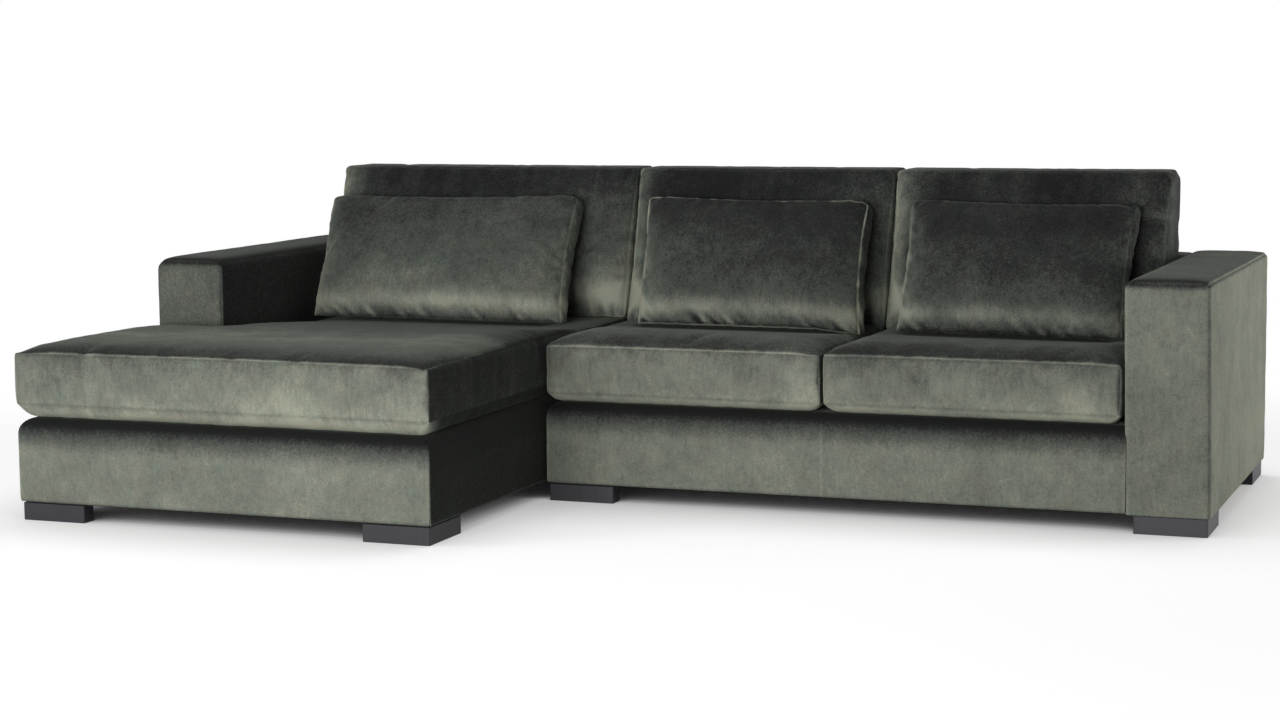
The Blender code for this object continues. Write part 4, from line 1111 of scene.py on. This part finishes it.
def makeRollPanel(name, start, end, inward, mitres, seams, tones, seed):
    # a flat face under a rolled top edge: the profile is drawn once and pushed along the panel
    radius, panel, dent = rollLook["radius"], rollLook["panel"], rollLook["dent"]
    deep = radius + rollLook["flat"]
    top, bottom = planes["deck"], planes["under"]
    ledge = top - rollLook["pad"]
    rows, steps = rollLook["rows"], rollLook["steps"]
    profile = [(0.0, bottom)]
    for row in range(1, rows + 1):
        profile.append((0.0, bottom + (top - radius - bottom) * row / rows))
    for step in range(1, steps + 1):
        turn = math.pi / 2 * step / steps
        profile.append((radius * (1 - math.cos(turn)), top - radius + radius * math.sin(turn)))
    profile += [(deep, top), (deep, ledge), (panel, ledge), (panel, bottom)]
    length = math.dist(start, end)
    bm = bmesh.new()
    bm.faces.new([bm.verts.new((0, depth, height)) for depth, height in profile])
    pushed = bmesh.ops.extrude_face_region(bm, geom=bm.faces[:])
    far = [item for item in pushed["geom"] if isinstance(item, bmesh.types.BMVert)]
    bmesh.ops.translate(bm, verts=far, vec=(length, 0, 0))
    places = edgeLines(0.0, length, [0.001, 0.008]) + [s + d for s in seams for d in (-0.01, -0.004, 0, 0.004, 0.01)]
    places.sort()
    for line in places[1:-1]:
        everything = bm.verts[:] + bm.edges[:] + bm.faces[:]
        bmesh.ops.bisect_plane(bm, geom=everything, dist=onIt, plane_co=(line, 0, 0), plane_no=(1, 0, 0))
    loopCut(bm, 0, places, 0.02)
    piece = toObject(bm, name + "_upholstery", velvet)
    block = readPoints(piece.data)
    along, depth, height = block.T
    outside = (depth < radius + 1e-4) & (height > bottom + 1e-4)
    share = ramp01(along / 0.05) * ramp01((length - along) / 0.05)
    puffed = outside * (0.0012 * rise((height - bottom) / 0.05) * rise(np.abs(top - height) / 0.02 + 0.2))
    waves = cloud(block * [1.0, 1.0, 0.6], 0.12, seed) * 0.0016 * outside * share
    seamAway = np.minimum.reduce([along, length - along] + [np.abs(along - seam) for seam in seams])
    inPanel = (along > 0.0005) & (along < length - 0.0005)
    dents = outside * inPanel * -dent * bell(seamAway, 0.003) * (len(seams) > 0)
    outward = puffed * share + waves + dents
    slope = np.where(height > top - radius, (height - (top - radius)) / radius, 0.0)
    depthOut = depth - outward * np.sqrt(1 - np.minimum(slope, 1) ** 2)
    heightOut = height + outward * slope
    t = along / length
    run = (fit + depthOut * mitres[0]) * (1 - t) + (length - fit - depthOut * mitres[1]) * t
    way = np.array([(end[0] - start[0]) / length, (end[1] - start[1]) / length])
    plan = np.array(start)[None, :] + run[:, None] * way[None, :] + depthOut[:, None] * np.array(inward)[None, :]
    writePoints(piece.data, np.column_stack([plan, heightOut]))
    bm = bmesh.new()
    bm.from_mesh(piece.data)
    bmesh.ops.recalc_face_normals(bm, faces=bm.faces)
    bm.to_mesh(piece.data)
    bm.free()
    # a painted highlight along the seams and the ends
    finishCover(piece, bell(seamAway, 0.003) * 0.12, tones, name + "_panel")


def shadowUnderLip(points, normals, mesh):
    # painted shadow: the rolled edge is painted darker upwards, under the cushion's lip
    return -0.70 * ramp01((points[:, 2] - 0.175) / 0.08) ** 1.4


# painted light and shade by the way each face looks: the right sides are painted dark, and the top edge gets the
# painted shadow under the lip
base = {"front": 0.78, "rear": 0.6, "left": 0.78, "right": 0.08, "top": 0.25, "under": 0.7, "rub": 0.7}
base["extra"] = shadowUnderLip
sofaBase = {**base, "front": 0.75}
rear = planes["rest"] + planes["recess"]
outerCorner = (planes["left"], planes["chaiseFront"])
chaiseCorner = (planes["chaise"], planes["chaiseFront"])
sofaCorner = (planes["sofa"], planes["front"])
# each runs from a corner to an end, with the way inwards, its mitres and the seams across it
panels = [
    ("chaise_front", outerCorner, chaiseCorner, (0, 1), (1, 1), [], base),
    ("chaise_right", chaiseCorner, (planes["chaise"], rear), (-1, 0), (1, 0), [], base),
    ("chaise_left", outerCorner, (planes["left"], planes["front"]), (1, 0), (1, 0), [], base),
    ("sofa_front", sofaCorner, (planes["rightArm"], planes["front"]), (0, 1), (1, 0), [0.76], sofaBase),
    ("sofa_left", sofaCorner, (planes["sofa"], rear), (1, 0), (1, 0), [], base),
]
for number, panel in enumerate(panels):
    makeRollPanel(*panel, 41 + number)
print("base panels made")


# seat decks and dust covers

deckLook = {"thick": 0.034, "inset": 0.0443, "face": 0.0103, "hem": 0.055, "cell": 0.024}


def edgeAway(points, outline, notch):
    # how far in from the outline each point is
    xLow, xHigh, yLow, yHigh = outline
    edge = np.minimum.reduce([points[:, 0] - xLow, xHigh - points[:, 0], points[:, 1] - yLow, yHigh - points[:, 1]])
    if notch:
        outside = np.hypot(np.maximum(points[:, 0] - notch[0], 0), np.maximum(notch[1] - points[:, 1], 0))
        edge = np.minimum(edge, outside)
    return edge


def makeDeck(side, outline, notch, seed):
    # a platform pad: a hem sewn round it, a rounded edge and soft lumps
    top, cell = planes["deck"], deckLook["cell"]
    low = top - deckLook["thick"]
    rows = [0.004, 0.010, 0.020, 0.045, 0.065]
    lines = (*planLines(outline, rows, notch, [0] + rows), [low, top])
    deck = cutBlock(side + "_deck_pad", lines, (cell, cell, 0.012), notch, platformCloth)
    points = readPoints(deck.data)
    edge = edgeAway(points, outline, notch)
    onTop = points[:, 2] > top - onIt
    sewn = bell(edge - deckLook["hem"], 0.006)
    lumps = 0.0012 * (1 + cloud(points, 0.14, seed)) + 0.0005 * (1 + cloud(points, 0.04, seed + 1))
    rounded = 0.006 * (1 - rise(edge / 0.018))
    points[:, 2] -= onTop * (0.0022 * sewn + lumps + rounded)
    writePoints(deck.data, points)
    refine(deck)
    writePoints(deck.data, keepWithin(readPoints(deck.data), [(2, 1, top - fit), (2, -1, low + fit)]))
    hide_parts(side + "_seat_deck")
    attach(deck, "frames")


def makeDustCover(side, outline, notch, seed):
    # thin cloth stapled under the rails: its edges are flat and its middle hangs a little
    xLow, xHigh, yLow, yHigh = outline
    bottom = planes["under"] + fit
    lines = (*planLines(outline, [0.012, 0.03], notch, [0]), [bottom, bottom + 0.001])
    sheet = cutBlock(side + "_dust_cloth", lines, [0.03] * 3, notch, dustCloth)
    points = readPoints(sheet.data)
    loose = rise(np.maximum(edgeAway(points, outline, notch) - 0.025, 0) / 0.2)
    points[:, 2] -= loose * 0.003 * (1 + 0.5 * cloud(points, 0.2, seed))
    writePoints(sheet.data, points)
    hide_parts(side + "_dust_cover")
    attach(sheet, "frames")


armCorner = (planes["leftArm"] + fit, planes["front"] - fit)
makers = ((makeDeck, deckLook["inset"], 51), (makeDustCover, deckLook["face"], 53))
for make, inset, seed in makers:
    ends = (planes["left"] + inset, planes["chaise"] - inset, planes["chaiseFront"] + inset, rear)
    make("chaise", ends, armCorner, seed)
    ends = (planes["sofa"] + inset, planes["rightArm"] - fit, planes["front"] + inset, rear)
    make("sofa", ends, None, seed + 1)
print("decks and dust covers made")

# finishes on the pieces that stay as they are

finishes = {"_rail": beech, "_frame": beech, "spring_deck": springWire}
for name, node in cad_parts.items():
    finish = next((finish for ending, finish in finishes.items() if name.endswith(ending)), None)
    if "_foot_" in name:
        finish = feetWood
    elif "connector" in name:
        finish = zincPlate
    if finish:
        node.data.materials.clear()
        node.data.materials.append(finish)
print("carried-over pieces finished")


# studio

studio = {
    # each lamp: where it is, its size, its watts and what it looks at
    "lamps": {
        "keyLamp": ((-0.3, -7.0, 1.0), (4.0, 1.4), 465, (-0.2, -0.3, 0.3)),
        "fillLamp": ((-4.5, -3.0, 2.4), (2.0, 2.0), 40, (0.3, 0, 0.4)),
        "sideLamp": ((5.0, 1.9, 0.6), (2.0, 1.0), 95, (1.4, 0.3, 0.3)),
        "skyLamp": ((0.0, 1.5, 4.5), (4.0, 3.0), 60, (0, 0, 0.4)),
    },
    "ambient": 0.16, "floorAlbedo": 0.8, "floorGlow": 0.52, "floorFade": (1.9, 3.2), "shadowReach": 0.6,
    "shadow": [
        (0.0, "0c0c0c"), (0.03, "4a4a4a"), (0.08, "a0a0a0"), (0.18, "d2d2d2"), (0.5, "e6e6e6"),
        (0.85, "ffffff"),
    ],
}
for name, (place, size, watts, aim) in studio["lamps"].items():
    data = bpy.data.lights.new(name, "AREA")
    data.shape = "RECTANGLE"
    data.size, data.size_y = size
    data.energy = watts
    lamp = bpy.data.objects.new(name, data)
    scene.collection.objects.link(lamp)
    lamp.location = place
    lamp.rotation_euler = (Vector(aim) - Vector(place)).to_track_quat("-Z", "Y").to_euler()


def seenDirectly(tree):
    # 1 for rays that show the background as it is: from the camera, and through gloss or glass
    paths = tree.nodes.new("ShaderNodeLightPath").outputs
    most = addMath(tree, "MAXIMUM", paths["Is Camera Ray"], paths["Is Glossy Ray"])
    return addMath(tree, "MAXIMUM", most, paths["Is Transmission Ray"])


white = (1, 1, 1, 1)
world = bpy.data.worlds.new("studioWorld")
world.use_nodes = True
scene.world = world
tree = world.node_tree
tree.nodes.clear()
dim = addNode(tree, "Background", {"Color": white, "Strength": studio["ambient"]})
clean = addNode(tree, "Background", {"Color": white, "Strength": 1.0})
blend = addNode(tree, "MixShader", {0: seenDirectly(tree), 1: dim, 2: clean})
addNode(tree, "OutputWorld", {"Surface": blend})

floorMat, tree, shader, place = newMaterial("paleStudioFloor", {})
tree.nodes.remove(shader)
bounce = addNode(tree, "BsdfDiffuse", {"Color": (0.8, 0.8, 0.8, 1)})
# the floor's glow and colour darken where it is hidden from the room: a painted contact shadow
openness = addNode(tree, "AmbientOcclusion", {"samples": 64, "Distance": studio["shadowReach"]}, "AO")
shadow = addNode(tree, "ValToRGB", {"Fac": openness, "stops": studio["shadow"]})
glow = addNode(tree, "Emission", {"Strength": studio["floorGlow"], "Color": shadow})
paint = addNode(tree, "VectorMath", {"operation": "SCALE", "Scale": studio["floorAlbedo"], 0: shadow})
lit = addNode(tree, "AddShader", {0: addNode(tree, "BsdfDiffuse", {"Color": paint}), 1: glow})
far = addNode(tree, "VectorMath", {"operation": "LENGTH", 0: place}, "Value")
near, wide = studio["floorFade"]
fade = {"interpolation_type": "SMOOTHSTEP", "From Min": near, "From Max": wide, "Value": far}
clean = addNode(tree, "Emission", {"Color": white, "Strength": 1.0})
lit = addNode(tree, "MixShader", {0: addNode(tree, "MapRange", fade), 1: lit, 2: clean})
mixed = addNode(tree, "MixShader", {0: seenDirectly(tree), 1: bounce, 2: lit})
tree.links.new(mixed, tree.nodes["Material Output"].inputs["Surface"])
bm = bmesh.new()
bmesh.ops.create_circle(bm, cap_ends=True, segments=96, radius=40)
floor = toObject(bm, "studioFloor", floorMat)

scene.view_settings.view_transform = "Standard"

photoView = {"place": (2.33382, -6.29593, 1.15901), "lens": 71.31, "yaw": 20.9255, "pitch": 6.7077, "roll": -0.4846}
data = bpy.data.cameras.new("photoCamera")
data.lens = photoView["lens"]
data.sensor_width = 36
data.clip_end = 100
camera = bpy.data.objects.new("photoCamera", data)
scene.collection.objects.link(camera)
turn = Matrix.Identity(3)
for angle, axis in ((photoView["yaw"], "Z"), (90 - photoView["pitch"], "X"), (photoView["roll"], "Z")):
    turn = turn @ Matrix.Rotation(math.radians(angle), 3, axis)
camera.matrix_world = Matrix.Translation(photoView["place"]) @ turn.to_4x4()
scene.camera = camera
print("studio ready")
